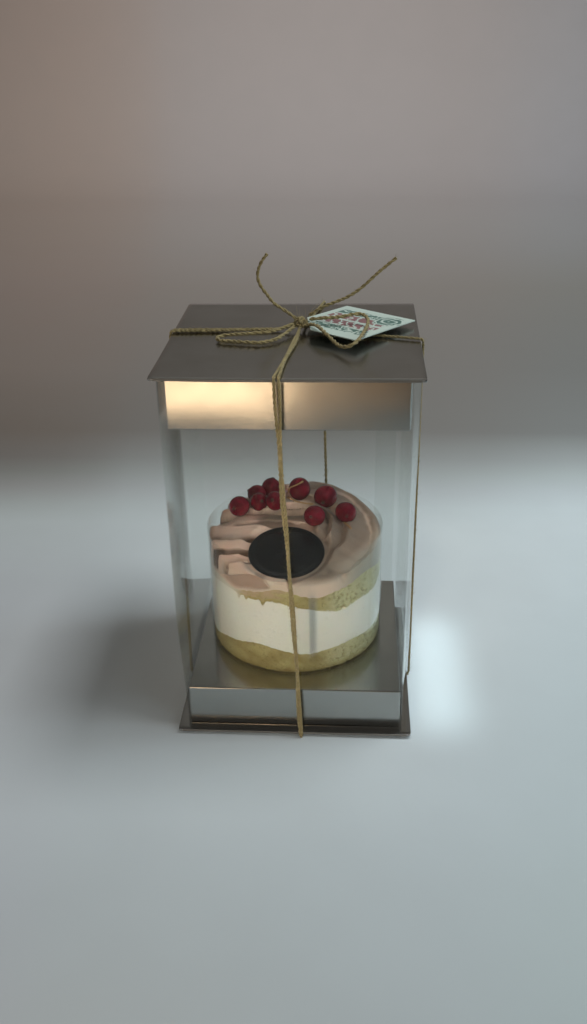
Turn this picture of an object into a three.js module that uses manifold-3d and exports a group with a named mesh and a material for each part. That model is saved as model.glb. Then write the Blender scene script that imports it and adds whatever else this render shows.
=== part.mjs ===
// A small round cream layer cake in its clear gift box, tied crosswise with jute twine.
// Millimetres, +Z up. The origin is the middle of the box, on the surface it stands on.
import * as THREE from 'three';
import { mergeVertices } from 'three/addons/utils/BufferGeometryUtils.js';
import Module from 'manifold-3d';

const wasm = await Module();
wasm.setup();

// Driving dimensions
const gap = 0.3; // between pieces that touch
const boxWidth = 100; // both card plates
const cardThick = 1;
const cardCorner = 0.8;
const trayWidth = 90; // raised tray of the base, and the one hanging under the lid
const platformHeight = 18.6;
const insertHeight = 20.2;
const trayFold = 0.5; // rounded fold along the tray's edges
const boxHeight = 160.1; // over both plates
const sleeveWidth = 92;
const sleeveWall = 0.4;
const sleeveCrease = 0.9;
const twineRadius = 0.8;
const pressedTwine = { wide: 2.2, high: 1 }; // flattened under the box

const baseZ = pressedTwine.high + gap;
const platformTop = baseZ + cardThick + gap + platformHeight;
const lidTop = baseZ + boxHeight;
const lidUnder = lidTop - cardThick;
const insertUnder = lidUnder - gap - insertHeight;

// Cake, measured from its own middle and from the top of the platform
const cakeAt = new THREE.Vector3(-1.5, 4.5, platformTop);
const cake = {
  radius: 38.4,
  core: 27, // inside this the seams run level
  facets: 60,
  collarHeight: 54,
  collarWall: 0.35,
};
// Mean height where each layer begins, and its swells: degrees round the cake, rise, width in degrees
const layers = {
  white: {
    height: 10.5,
    swells: [[-160, -4.6, 16], [-111, 2.6, 14], [-80, -0.9, 10], [-48, 0.9, 12], [70, 1.4, 30]],
  },
  upperSponge: {
    height: 33.2,
    swells: [[-138, 3.6, 26], [-101, 2.2, 12], [-57, -4.3, 17], [-24, 1, 10], [85, 1.2, 30]],
  },
  topping: {
    height: 39.3,
    swells: [[-129, -1.8, 9], [-98, 3, 10], [-72, -1.6, 8], [-36, -0.8, 8], [60, 1, 30]],
  },
};
const topping = {
  rimHeight: 49.3, // at the two sides
  rimTilt: 0.07, // the cream is lower towards the front
  dome: 5.2,
  domePower: 1.7,
  heap: { rise: 3, at: 75, wide: 30 }, // the cream is heaped up at the back right
  lipsLeft: [-6, 4.5, 15.2, 22.4, 28, 36.4, 44], // distances of the folds' lips from the middle line
  lipsRight: [-6, 8, 17, 25, 29.4, 33.6, 38], // and from the middle of the cake
  foldDeep: [1.6, 2, 3, 1.6, 2.6, 2.4, 1.6],
  lean: 0.18, // the left folds run a little uphill
  swirl: 0.15, // the right folds widen towards the front
  lipWide: 0.2, // share of a fold that its steep inner side takes
  edgeRound: 2.2,
  facets: 76,
  ringStep: 2.3,
};

const disc = {
  at: new THREE.Vector3(-4.1, -15.2, platformTop + 50.5), // middle of its upper face
  radius: 16.4,
  thick: 2.2,
  tilt: 12.2,
  edge: 0.5,
  seat: 0.8, // the cream round it stands this much lower than its face
  seatWide: 4.5,
};

// Redcurrants: middle (from the box's middle, height over the platform), radius, way the dried tip points
const currants = [
  { at: [-27.2, 14.4, 56.7], r: 4.7, tip: [-0.4, -0.9, 0.2] },
  { at: [-20.4, 26.9, 56.6], r: 4.4, tip: [-0.9, 0.1, 0.4] },
  { at: [-14.2, 33.6, 56.9], r: 4.6, tip: [0.2, 0.3, 1] },
  { at: [-18.6, 18.2, 57.1], r: 4.2, tip: [0.4, -0.8, 0.5] },
  { at: [-10.9, 14.6, 59.5], r: 4.3, tip: [-0.2, -0.8, 0.5] },
  { at: [-0.6, 27.6, 59.3], r: 5.2, tip: [0.5, 0.8, 0.3] },
  { at: [11.7, 20.9, 58.9], r: 5.3, tip: [-0.2, -1, -0.1] },
  { at: [7.3, 3.5, 57.9], r: 4.7, tip: [-0.3, -0.9, 0.35] },
  { at: [21.1, 9.7, 56.6], r: 4.75, tip: [0.1, -1, 0.1] },
];

// Stalks left on the redcurrants, heights over the platform
const stalks = [
  [[-5.4, 22.4, 60.2], [-4.6, 21.4, 62.8], [-1.6, 21.6, 64.2], [1.4, 23.4, 65.2]],
  [[-5.2, 15.6, 60.9], [-1, 13.6, 59.8], [3.4, 12.4, 59.5], [6.2, 13.2, 58.8]],
  [[20.6, 4, 56.5], [22.4, 1.8, 56.4], [24.4, -0.2, 55.4]],
];
const stalkRadius = 0.45;
const hollowRoom = 0.5; // between a redcurrant and the cream it is pressed into

// Tag: a square card laid under the bow, one corner cut off towards the knot
const tag = {
  at: new THREE.Vector3(22.6, 11.1, lidTop + 2.6),
  size: [35.6, 39.5],
  turn: -37.9,
  tilt: 1.9,
  cutCorner: 13,
  thick: 0.4,
};

// The tie: where it crosses the edges of the lid (top) and of the base (foot)
const knotAt = new THREE.Vector3(2.4, 8.2, lidTop + 3.2);
const knotReach = 3;
const edgeBend = 1.3; // of the tie round the edge of the lid
const tie = {
  front: { out: new THREE.Vector3(0, -1, 0), top: -3.8, foot: 3.1 },
  back: { out: new THREE.Vector3(0, 1, 0), top: 10.6, foot: 10.5 },
  left: { out: new THREE.Vector3(-1, 0, 0), top: 6.1, foot: -6 },
  right: { out: new THREE.Vector3(1, 0, 0), top: -4.9, foot: -4.5 },
};

// The free ends of the bow, from the box's middle, with the height over the lid
const bow = {
  bow_loop_left: {
    steps: 24,
    route: [
      [-1.4, 5.4, 3.6], [-4.6, 2.2, 3.2], [-8.6, -0.6, 2.7], [-15.8, -2.4, 2.4], [-24.6, -2.8, 2],
      [-29.2, -3.2, 1.6], [-30.2, -4.6, 1.3], [-27.9, -6.4, 1.2], [-23.4, -8.2, 1.2], [-17.9, -10.1, 1.2],
      [-12.3, -10.6, 1.2], [-7.1, -7.4, 1.4], [-3.9, -1.6, 1.7], [-1.6, 3.2, 1.9],
    ],
  },
  bow_loop_right: {
    steps: 25,
    route: [
      [6, 6.4, 5.6], [11.4, 5, 6.4], [18.6, 5.1, 6.9], [23.8, 6.6, 7.5], [27, 7.4, 7.3], [29.1, 3.6, 6.8],
      [29.1, -3.9, 6.2], [26.9, -14.4, 5.8], [24.6, -21.2, 5], [21.9, -23, 3.6], [19, -19.3, 2.6],
      [15.2, -13, 3.4], [11.8, -7.6, 5], [8.6, -0.9, 5.3], [5.4, 4.1, 4.2],
    ],
  },
  bow_tail_left: {
    steps: 10,
    route: [
      [-1, 10.3, 5.4], [-4.2, 10.6, 7.9], [-8.7, 10.9, 10.9], [-11.8, 11.4, 14.7], [-14.3, 11.8, 18.4],
      [-15.1, 12.2, 21.6], [-14.6, 12.5, 24.4], [-13.2, 12.9, 27.4], [-11.1, 13.2, 30.1],
    ],
  },
  bow_tail_right: {
    steps: 13,
    route: [
      [5.6, 10.2, 6], [10.7, 10.5, 9.2], [16, 10.7, 11.3], [20.7, 10.9, 13.2], [24.8, 11.2, 15.6],
      [28.3, 11.4, 18.4], [33.9, 11.9, 23.5], [40.2, 12.4, 28.5],
    ],
  },
};

const silverCard = new THREE.MeshStandardMaterial({ color: 0x8f8d89, roughness: 0.34, metalness: 0.85 });
const clearFilm = new THREE.MeshStandardMaterial({
  color: 0xe8eeee, roughness: 0.08, metalness: 0, transparent: true, opacity: 0.2,
});
const sponge = new THREE.MeshStandardMaterial({ color: 0xe2cf8a, roughness: 0.9, metalness: 0 });
const whiteCream = new THREE.MeshStandardMaterial({ color: 0xf4f0e6, roughness: 0.5, metalness: 0 });
const pinkCream = new THREE.MeshStandardMaterial({ color: 0xcfae9e, roughness: 0.5, metalness: 0 });
const chocolate = new THREE.MeshStandardMaterial({ color: 0x231a18, roughness: 0.35, metalness: 0 });
const currantSkin = new THREE.MeshStandardMaterial({ color: 0x8c1220, roughness: 0.18, metalness: 0 });
const stalkBrown = new THREE.MeshStandardMaterial({ color: 0x9a6a4a, roughness: 0.7, metalness: 0 });
const jute = new THREE.MeshStandardMaterial({ color: 0x8a6f3c, roughness: 0.9, metalness: 0 });
const tagPaper = new THREE.MeshStandardMaterial({ color: 0xd9e6dc, roughness: 0.7, metalness: 0 });

const part = new THREE.Group();

function add(name, geometry, material, place = new THREE.Vector3()) {
  const mesh = new THREE.Mesh(geometry, material);
  mesh.name = name;
  mesh.position.copy(place);
  part.add(mesh);
  return mesh;
}

const radians = THREE.MathUtils.degToRad;

// Rounded square, as an outline or as a hole in one
function roundedSquare(width, corner, Outline = THREE.Shape) {
  const half = width / 2;
  const turn = half - corner;
  const outline = new Outline();
  outline.absarc(turn, turn, corner, 0, Math.PI / 2);
  outline.absarc(-turn, turn, corner, Math.PI / 2, Math.PI);
  outline.absarc(-turn, -turn, corner, Math.PI, Math.PI * 1.5);
  outline.absarc(turn, -turn, corner, Math.PI * 1.5, Math.PI * 2);
  return outline;
}

// Card plates and the trays folded from the same card
function cardPlate() {
  return new THREE.ExtrudeGeometry(roundedSquare(boxWidth, cardCorner), {
    depth: cardThick, bevelEnabled: false, curveSegments: 3,
  });
}

function tray(height) {
  const geometry = new THREE.ExtrudeGeometry(roundedSquare(trayWidth - 2 * trayFold, trayFold), {
    depth: height - 2 * trayFold,
    bevelThickness: trayFold,
    bevelSize: trayFold,
    bevelSegments: 2,
    curveSegments: 2,
  });
  return geometry.translate(0, 0, trayFold);
}

function addBox() {
  add('base_plate', cardPlate(), silverCard, new THREE.Vector3(0, 0, baseZ));
  const platformFoot = platformTop - platformHeight;
  add('base_platform', tray(platformHeight), silverCard, new THREE.Vector3(0, 0, platformFoot));
  add('lid_insert', tray(insertHeight), silverCard, new THREE.Vector3(0, 0, insertUnder));
  add('lid_plate', cardPlate(), silverCard, new THREE.Vector3(0, 0, lidUnder));

  const wall = roundedSquare(sleeveWidth, sleeveCrease);
  wall.holes.push(roundedSquare(sleeveWidth - 2 * sleeveWall, sleeveCrease - sleeveWall, THREE.Path));
  const sleeveFoot = baseZ + cardThick + gap;
  const sleeve = new THREE.ExtrudeGeometry(wall, {
    depth: lidUnder - gap - sleeveFoot, bevelEnabled: false, curveSegments: 3,
  });
  add('sleeve', sleeve, clearFilm, new THREE.Vector3(0, 0, sleeveFoot));
}

// How far an angle lies past another, both in degrees, from -180 to 180
function degreesPast(angle, from) {
  return THREE.MathUtils.euclideanModulo(angle - from + 180, 360) - 180;
}

// Where one layer ends and the next begins, at an angle round the cake
function seam({ height, swells }) {
  return (angle) => swells.reduce((z, [at, rise, wide]) => {
    const past = degreesPast(THREE.MathUtils.radToDeg(angle), at) / wide;
    return z + rise * Math.exp(-(past ** 2));
  }, height);
}

const seams = {
  floor: () => gap,
  white: seam(layers.white),
  upperSponge: seam(layers.upperSponge),
  topping: seam(layers.topping),
};

// Pores and crumbs of the cut sponge, and the smoother cream pressed against the film
function skin(angle, z, rough, seed) {
  return rough * (
    0.6 * Math.sin(17 * angle + 0.9 * z + seed) * Math.sin(11 * angle - 1.3 * z + 2 * seed)
    + 0.4 * Math.sin(29 * angle + 2.1 * z) - 0.5
  );
}

// A turned body whose rings move in and out, up and down with the angle
function turnedBody(profile, facets, shape) {
  const outline = profile.map(([r, level]) => new THREE.Vector2(r, level));
  const geometry = new THREE.LatheGeometry(outline, facets);
  geometry.rotateX(Math.PI / 2);
  const point = geometry.attributes.position;
  for (let i = 0; i < point.count; i += 1) {
    const r = Math.hypot(point.getX(i), point.getY(i));
    const angle = r > 1e-6 ? Math.atan2(point.getY(i), point.getX(i)) : 0;
    const [newR, newZ] = shape(r, angle, point.getZ(i));
    point.setXYZ(i, newR * Math.cos(angle), newR * Math.sin(angle), newZ);
  }
  return geometry;
}

// One layer of the cake: level 0 is its underside and level 1 its upper side
function cakeLayer(low, high, rough, seed, thin) {
  const profile = [[0, 0], [cake.core, 0], [cake.radius, 0]];
  const rows = 3;
  for (let row = 1; row < rows; row += 1) {
    profile.push([cake.radius, row / rows]);
  }
  profile.push([cake.radius, 1], [cake.core, 1], [0, 1]);
  return turnedBody(profile, cake.facets, (r, angle, level) => {
    const calm = Math.min(1, r / cake.radius) ** 2; // the seams run level towards the middle
    const settled = (seam) => THREE.MathUtils.lerp(meanOf(seam), seam(angle), calm);
    const z = THREE.MathUtils.lerp(settled(low), settled(high), level);
    const edge = r >= cake.radius - 0.01;
    return [edge ? cake.radius - thin + skin(angle, z, rough, seed) : r, z];
  });
}

function meanOf(seam) {
  let sum = 0;
  const count = 24;
  for (let i = 0; i < count; i += 1) {
    sum += seam((i / count) * 2 * Math.PI);
  }
  return sum / count;
}

function drift(u, v, a, b, c, d) {
  return Math.sin(a * u + b * v + c) * Math.cos(0.7 * b * u - 0.9 * a * v + d);
}

// Place between the lips of the folds: a whole number at each lip
function foldPhase(distance, lips) {
  const next = lips.findIndex((lip) => distance < lip);
  const i = next > 0 ? next - 1 : lips.length - 2;
  return i + Math.min(1, (distance - lips[i]) / (lips[i + 1] - lips[i]));
}

// The folds lie side by side on the left, and turn round the middle of the cake on the right
function swirlPhase(u, v) {
  const wander = 1.1 * drift(u, v, 0.11, 0.07, 0.6, 1.9) + 0.5 * drift(u, v, 0.27, 0.21, 2, 0.4);
  const angle = Math.atan2(v, u);
  const forward = THREE.MathUtils.clamp(-0.17 - angle, 0, 1.4);
  const left = foldPhase(Math.abs(v + topping.lean * u) + wander, topping.lipsLeft);
  const right = foldPhase(Math.hypot(u, v) * (1 - topping.swirl * forward) + wander, topping.lipsRight);
  return THREE.MathUtils.lerp(left, right, THREE.MathUtils.smoothstep(u, -9, 9));
}

// Each fold has a steep lip on its inner side and a long slope outwards
function foldHeight(phase) {
  const { foldDeep, lipWide } = topping;
  const i = Math.min(Math.floor(phase), foldDeep.length - 2);
  const t = phase - i;
  const lip = THREE.MathUtils.smoothstep(t, 0, lipWide);
  const crease = THREE.MathUtils.lerp(foldDeep[i], foldDeep[i + 1], t);
  return foldDeep[i] * lip * (1 - t ** 1.3) - 0.45 * crease;
}

// The disc has pushed the cream down to just below its face
function pressed(u, v, height) {
  const x = u + cakeAt.x - disc.at.x;
  const y = v + cakeAt.y - disc.at.y;
  const face = disc.at.z - cakeAt.z + Math.tan(radians(disc.tilt)) * y;
  const past = Math.hypot(x, y / Math.cos(radians(disc.tilt))) - disc.radius;
  const free = THREE.MathUtils.smoothstep(past, 0.8, disc.seatWide);
  return THREE.MathUtils.lerp(Math.min(height, face - disc.seat), height, free);
}

function toppingHeight(u, v) {
  const out = Math.min(1, Math.hypot(u, v) / cake.radius);
  const past = degreesPast(THREE.MathUtils.radToDeg(Math.atan2(v, u)), topping.heap.at) / topping.heap.wide;
  const heap = topping.heap.rise * Math.exp(-(past ** 2)) * out ** 2;
  const rim = topping.rimHeight + topping.rimTilt * v + heap;
  const dome = topping.dome * (1 - out ** topping.domePower);
  return pressed(u, v, rim + dome + foldHeight(swirlPhase(u, v)));
}

function toppingBody() {
  const profile = [[0, 0], [cake.core, 0], [cake.radius, 0], [cake.radius, 0.4], [cake.radius, 0.8]];
  for (let r = cake.radius; r > topping.ringStep; r -= topping.ringStep) {
    profile.push([r, 1]);
  }
  profile.push([0, 1]);
  return turnedBody(profile, topping.facets, (r, angle, level) => {
    const calm = Math.min(1, r / cake.radius) ** 2;
    const under = THREE.MathUtils.lerp(meanOf(seams.topping), seams.topping(angle), calm) + gap;
    const past = THREE.MathUtils.clamp(1 - (cake.radius - r) / topping.edgeRound, 0, 1);
    const roundOff = topping.edgeRound * 0.6 * (1 - Math.sqrt(1 - past ** 2));
    const over = toppingHeight(r * Math.cos(angle), r * Math.sin(angle)) - roundOff;
    return [r, THREE.MathUtils.lerp(under, over, level)];
  });
}

// A closed mesh as a solid that can be joined and cut, and back
function toSolid(geometry) {
  const bare = geometry.clone();
  bare.deleteAttribute('normal');
  bare.deleteAttribute('uv');
  const merged = mergeVertices(bare, 1e-3);
  return new wasm.Manifold(new wasm.Mesh({
    numProp: 3,
    vertProperties: Float32Array.from(merged.attributes.position.array),
    triVerts: Uint32Array.from(merged.index.array),
  }));
}

function toGeometry(solid) {
  const mesh = solid.getMesh();
  const geometry = new THREE.BufferGeometry();
  geometry.setAttribute('position', new THREE.BufferAttribute(mesh.vertProperties, 3));
  geometry.setIndex(new THREE.BufferAttribute(mesh.triVerts, 1));
  return geometry;
}

function discBody(grow) {
  const r = disc.radius + grow;
  const under = -disc.thick - grow;
  const outline = [
    [0, under], [r - disc.edge, under], [r, under + disc.edge],
    [r, grow - disc.edge], [r - disc.edge, grow], [0, grow],
  ];
  const geometry = new THREE.LatheGeometry(outline.map(([x, y]) => new THREE.Vector2(x, y)), 40);
  geometry.rotateX(Math.PI / 2 + radians(disc.tilt));
  return geometry.translate(disc.at.x, disc.at.y, disc.at.z);
}

// A round skin with the dried flower at its tip
function currantBody({ r, tip }) {
  const rows = 7;
  const outline = [new THREE.Vector2(0, -r)];
  for (let row = 1; row < rows; row += 1) {
    const turn = -Math.PI / 2 + (row / rows) * Math.PI;
    outline.push(new THREE.Vector2(r * Math.cos(turn), r * Math.sin(turn)));
  }
  for (const [x, y] of [[0.16, 0.985], [0.12, 1.16], [0, 1.1]]) {
    outline.push(new THREE.Vector2(x * r, y * r));
  }
  const geometry = new THREE.LatheGeometry(outline, 13);
  const turned = new THREE.Quaternion().setFromUnitVectors(
    new THREE.Vector3(0, 1, 0),
    new THREE.Vector3(...tip).normalize(),
  );
  return geometry.applyQuaternion(turned);
}

function addCake() {
  const { radius } = cake;
  add('sponge_bottom', cakeLayer(seams.floor, seams.white, 0.5, 1.3, 0.1), sponge, cakeAt);
  const overWhite = (angle) => seams.white(angle) + gap;
  add('cream_white', cakeLayer(overWhite, seams.upperSponge, 0.12, 3.1, 0), whiteCream, cakeAt);
  const overUpper = (angle) => seams.upperSponge(angle) + gap;
  add('sponge_top', cakeLayer(overUpper, seams.topping, 0.5, 5.2, 0.1), sponge, cakeAt);

  // The disc and the redcurrants are pressed into the cream
  const body = toppingBody().translate(cakeAt.x, cakeAt.y, cakeAt.z);
  let solid = toSolid(body).subtract(toSolid(discBody(gap)));
  for (const { at, r } of currants) {
    const hollow = new THREE.SphereGeometry(r + hollowRoom, 13, 8);
    hollow.translate(at[0], at[1], at[2] + platformTop);
    solid = solid.subtract(toSolid(hollow));
  }
  add('cream_swirl', toGeometry(solid), pinkCream);
  add('chocolate_disc', discBody(0), chocolate);

  currants.forEach((currant, i) => {
    const [x, y, z] = currant.at;
    add(`redcurrant_${i + 1}`, currantBody(currant), currantSkin, new THREE.Vector3(x, y, z + platformTop));
  });
  stalks.forEach((route, i) => {
    const points = route.map(([x, y, z]) => new THREE.Vector3(x, y, z + platformTop));
    const stalk = new THREE.ExtrudeGeometry(ring(stalkRadius, 6), {
      steps: 6, bevelEnabled: false, extrudePath: new THREE.CatmullRomCurve3(points),
    });
    add(`currant_stalk_${i + 1}`, stalk, stalkBrown);
  });

  const outer = radius + gap + cake.collarWall;
  const band = new THREE.Shape().absarc(0, 0, outer, 0, 2 * Math.PI);
  band.holes.push(new THREE.Path().absarc(0, 0, radius + gap, 0, 2 * Math.PI, true));
  const collar = new THREE.ExtrudeGeometry(band, {
    depth: cake.collarHeight, bevelEnabled: false, curveSegments: 26,
  });
  add('acetate_collar', collar, clearFilm, new THREE.Vector3(cakeAt.x, cakeAt.y, platformTop + gap));
}

// Polygon section of a cord
function ring(radius, sides) {
  const corners = [];
  for (let i = 0; i < sides; i += 1) {
    const turn = ((i + 0.5) / sides) * 2 * Math.PI;
    corners.push(new THREE.Vector2(radius * Math.cos(turn), radius * Math.sin(turn)));
  }
  return new THREE.Shape(corners);
}

// A route with its stations where the cord bends, and none along a straight stretch
class StationRoute extends THREE.Curve {
  constructor(stations) {
    super();
    this.stations = stations;
  }

  getPoint(t, target = new THREE.Vector3()) {
    const at = t * (this.stations.length - 1);
    const first = Math.min(Math.floor(at), this.stations.length - 2);
    return target.lerpVectors(this.stations[first], this.stations[first + 1], at - first);
  }

  getPointAt(u, target) {
    return this.getPoint(u, target);
  }

  getTangentAt(u, target = new THREE.Vector3()) {
    const last = this.stations.length - 1;
    const i = Math.round(u * last);
    const before = this.stations[Math.max(0, i - 1)];
    const after = this.stations[Math.min(last, i + 1)];
    const here = this.stations[i];
    const arriving = here.clone().sub(before).normalize();
    const leaving = after.clone().sub(here).normalize();
    return target.copy(arriving.add(leaving)).normalize();
  }
}

// From the knot along the lid, over its edge and straight down to the foot of the box
function tieStrand({ out, top, foot }) {
  const side = new THREE.Vector3(Math.abs(out.y), Math.abs(out.x), 0);
  const lie = twineRadius + gap;
  const edge = boxWidth / 2 + lie - edgeBend;
  const high = lidTop + lie - edgeBend;
  const at = (reach, along, z) => out.clone().multiplyScalar(reach).addScaledVector(side, along).setZ(z);
  const overEdge = [0, 30, 60, 90].map((turn) => at(
    edge + edgeBend * Math.sin(radians(turn)), top, high + edgeBend * Math.cos(radians(turn)),
  ));
  const start = overEdge[0].clone().sub(knotAt).setZ(0).normalize().multiplyScalar(knotReach + gap);
  start.add(knotAt).setZ(high + edgeBend);
  const end = at(edge + edgeBend, foot, pressedTwine.high + gap);
  const down = overEdge[3].clone().lerp(end, 0.5);
  const stations = [start, start.clone().lerp(overEdge[0], 0.5), ...overEdge, down, end];
  return new THREE.ExtrudeGeometry(ring(twineRadius, 8), {
    steps: stations.length - 1, bevelEnabled: false, extrudePath: new StationRoute(stations),
  });
}

// Flattened strand between two points on the ground
function underStrand(from, to) {
  const { wide, high } = pressedTwine;
  const flat = new THREE.Shape();
  const half = wide / 2 - high / 2;
  flat.absarc(half, high / 2, high / 2, -Math.PI / 2, Math.PI / 2);
  flat.absarc(-half, high / 2, high / 2, Math.PI / 2, Math.PI * 1.5);
  const run = to.clone().sub(from);
  const strand = new THREE.ExtrudeGeometry(flat, {
    depth: run.length(), bevelEnabled: false, curveSegments: 4,
  });
  strand.rotateX(Math.PI / 2);
  strand.rotateZ(Math.atan2(run.y, run.x) + Math.PI / 2);
  return strand.translate(from.x, from.y, 0);
}

function knotBody() {
  const turnRadius = 1.9;
  const coreRadius = 2.35; // fills the hollow inside the wraps
  const wraps = [
    { tilt: [0, 0.2, 0], at: [0, 0, -0.5], wide: 1.25 },
    { tilt: [1.35, 0.3, 0.2], at: [-0.4, 0.1, 0.35], wide: 1.1 },
    { tilt: [0.4, 1.3, 0.5], at: [0.5, -0.1, 0.5], wide: 1.1 },
  ];
  let solid = toSolid(new THREE.SphereGeometry(coreRadius, 9, 6));
  for (const { tilt, at, wide } of wraps) {
    const wrap = new THREE.TorusGeometry(turnRadius * wide, twineRadius, 6, 10);
    wrap.scale(1, 0.8, 1);
    wrap.applyQuaternion(new THREE.Quaternion().setFromEuler(new THREE.Euler(...tilt)));
    wrap.translate(...at);
    solid = solid.add(toSolid(wrap));
  }
  return toGeometry(solid);
}

function addTwine() {
  for (const [name, strand] of Object.entries(tie)) {
    add(`twine_${name}`, tieStrand(strand), jute);
  }
  const reach = boxWidth / 2 + 2 * twineRadius + gap;
  const left = new THREE.Vector3(-reach, tie.left.foot, 0);
  const right = new THREE.Vector3(reach, tie.right.foot, 0);
  add('twine_under_across', underStrand(left, right), jute);
  const crossing = new THREE.Vector3((tie.front.foot + tie.back.foot) / 2, (left.y + right.y) / 2, 0);
  const clear = pressedTwine.wide / 2 + gap;
  const front = new THREE.Vector3(tie.front.foot, -reach, 0);
  const back = new THREE.Vector3(tie.back.foot, reach, 0);
  add('twine_under_front', underStrand(front, crossing.clone().add(new THREE.Vector3(0, -clear, 0))), jute);
  add('twine_under_back', underStrand(back, crossing.clone().add(new THREE.Vector3(0, clear, 0))), jute);

  add('twine_knot', knotBody(), jute, knotAt);
  for (const [name, { route, steps }] of Object.entries(bow)) {
    const points = route.map(([x, y, z]) => new THREE.Vector3(x, y, z + lidTop));
    const path = new THREE.CatmullRomCurve3(points, false, 'centripetal');
    const cord = new THREE.ExtrudeGeometry(ring(twineRadius, 8), {
      steps, bevelEnabled: false, extrudePath: path,
    });
    add(name, cord, jute);
  }
}

function addTag() {
  const [width, length] = tag.size;
  const x = width / 2;
  const y = length / 2;
  const card = new THREE.Shape([
    new THREE.Vector2(-x, y),
    new THREE.Vector2(-x, -y + tag.cutCorner),
    new THREE.Vector2(-x + tag.cutCorner, -y),
    new THREE.Vector2(x, -y),
    new THREE.Vector2(x, y),
  ]);
  const geometry = new THREE.ExtrudeGeometry(card, { depth: tag.thick, bevelEnabled: false });
  const mesh = add('tag', geometry, tagPaper, tag.at);
  mesh.rotation.set(-radians(tag.tilt), 0, radians(tag.turn), 'ZYX');
}

addBox();
addCake();
addTwine();
addTag();

export default part;
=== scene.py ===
import math

import bpy
import numpy as np
from mathutils import Matrix, Vector, noise


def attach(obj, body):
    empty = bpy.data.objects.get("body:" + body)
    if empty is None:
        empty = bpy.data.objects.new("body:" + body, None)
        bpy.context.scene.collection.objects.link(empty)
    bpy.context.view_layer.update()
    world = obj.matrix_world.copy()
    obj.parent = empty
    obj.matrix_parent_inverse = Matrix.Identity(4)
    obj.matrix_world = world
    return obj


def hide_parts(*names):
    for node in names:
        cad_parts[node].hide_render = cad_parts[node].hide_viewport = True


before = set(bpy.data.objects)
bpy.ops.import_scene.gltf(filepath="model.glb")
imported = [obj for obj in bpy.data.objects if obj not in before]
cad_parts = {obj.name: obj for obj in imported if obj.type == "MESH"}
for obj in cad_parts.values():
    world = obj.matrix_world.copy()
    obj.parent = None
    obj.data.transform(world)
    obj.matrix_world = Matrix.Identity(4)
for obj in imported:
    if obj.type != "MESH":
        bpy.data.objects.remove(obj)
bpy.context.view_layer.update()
mm = 0.001
print("frame loaded")


# Sums of shader sockets, written as plain sums
class Wire:
    def __init__(self, paint, socket):
        self.paint = paint
        self.socket = socket

    def __add__(self, other):
        return self.paint.maths("ADD", self, other)

    def __sub__(self, other):
        return self.paint.maths("SUBTRACT", self, other)

    def __rsub__(self, other):
        return self.paint.maths("SUBTRACT", other, self)

    def __mul__(self, other):
        return self.paint.maths("MULTIPLY", self, other)

    def __truediv__(self, other):
        return self.paint.maths("DIVIDE", self, other)

    def __pow__(self, other):
        return self.paint.maths("POWER", self, other)

    __radd__ = __add__
    __rmul__ = __mul__


# One material: a Principled surface and the nodes that lead to it
class Paint:
    def __init__(self, name, **constants):
        self.material = bpy.data.materials.new(name)
        self.material.use_nodes = True
        self.tree = self.material.node_tree
        self.tree.nodes.clear()
        self.surface = self.tree.nodes.new("ShaderNodeOutputMaterial")
        sockets = {key.replace("_", " "): value for key, value in constants.items()}
        self.body = self.node("BsdfPrincipled", {}, sockets)
        self.plug(self.surface.inputs["Surface"], self.body)

    def plug(self, socket, value):
        if isinstance(value, Wire):
            self.tree.links.new(value.socket, socket)
        else:
            socket.default_value = value

    def node(self, kind, settings, sockets, pick=0):
        made = self.tree.nodes.new("ShaderNode" + kind)
        for key, value in settings.items():
            if key == "stops":
                made.color_ramp.elements[1].position = value[-1][0]
                for i, (place, colour) in enumerate(value):
                    if 0 < i < len(value) - 1:
                        made.color_ramp.elements.new(place)
                for element, (place, colour) in zip(made.color_ramp.elements, value):
                    element.position = place
                    element.color = colour
            else:
                setattr(made, key, value)
        for key, value in sockets.items():
            self.plug(made.inputs[key], value)
        return Wire(self, made.outputs[pick])

    def maths(self, operation, *values, clamp=False):
        return self.node("Math", {"operation": operation, "use_clamp": clamp}, dict(enumerate(values)))

    def place(self, scale=(1, 1, 1), turn=(0, 0, 0)):
        coords = self.node("TexCoord", {}, {}, "Object")
        size = [axis / mm for axis in scale]
        return self.node("Mapping", {}, {"Vector": coords, "Scale": size, "Rotation": turn})

    def attribute(self, name, pick="Fac"):
        return self.node("Attribute", {"attribute_name": name}, {}, pick)

    def grain(self, where, scale, detail=3, rough=0.5):
        return self.node("TexNoise", {}, {"Vector": where, "Scale": scale, "Detail": detail, "Roughness": rough})

    def cells(self, where, scale, feature="F1"):
        return self.node("TexVoronoi", {"feature": feature}, {"Vector": where, "Scale": scale})

    def eased(self, value, low, high, start=0, end=1):
        return self.node("MapRange", {"interpolation_type": "SMOOTHSTEP"}, {
            "Value": value, "From Min": low, "From Max": high, "To Min": start, "To Max": end,
        })

    def mixed(self, mask, first, second):
        return self.node("Mix", {"data_type": "RGBA"}, {0: mask, 6: first, 7: second}, 2)

    def ramp(self, value, stops):
        first, last = stops[0][0], stops[-1][0]
        elements = [((at - first) / (last - first), (*colour, 1)) for at, colour in stops]
        return self.node("ValToRGB", {"stops": elements}, {"Fac": (value - first) / (last - first)}, "Color")

    def bumped(self, height, deep, strength=1):
        return self.node("Bump", {}, {"Height": height, "Distance": deep * mm, "Strength": strength})

    def finish(self, **links):
        for key, value in links.items():
            self.plug(self.body.socket.node.inputs[key.replace("_", " ")], value)
        return self.material


# Mesh helpers. Points are handled in millimetres
def activate(piece):
    bpy.ops.object.select_all(action="DESELECT")
    piece.select_set(True)
    bpy.context.view_layer.objects.active = piece


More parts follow.
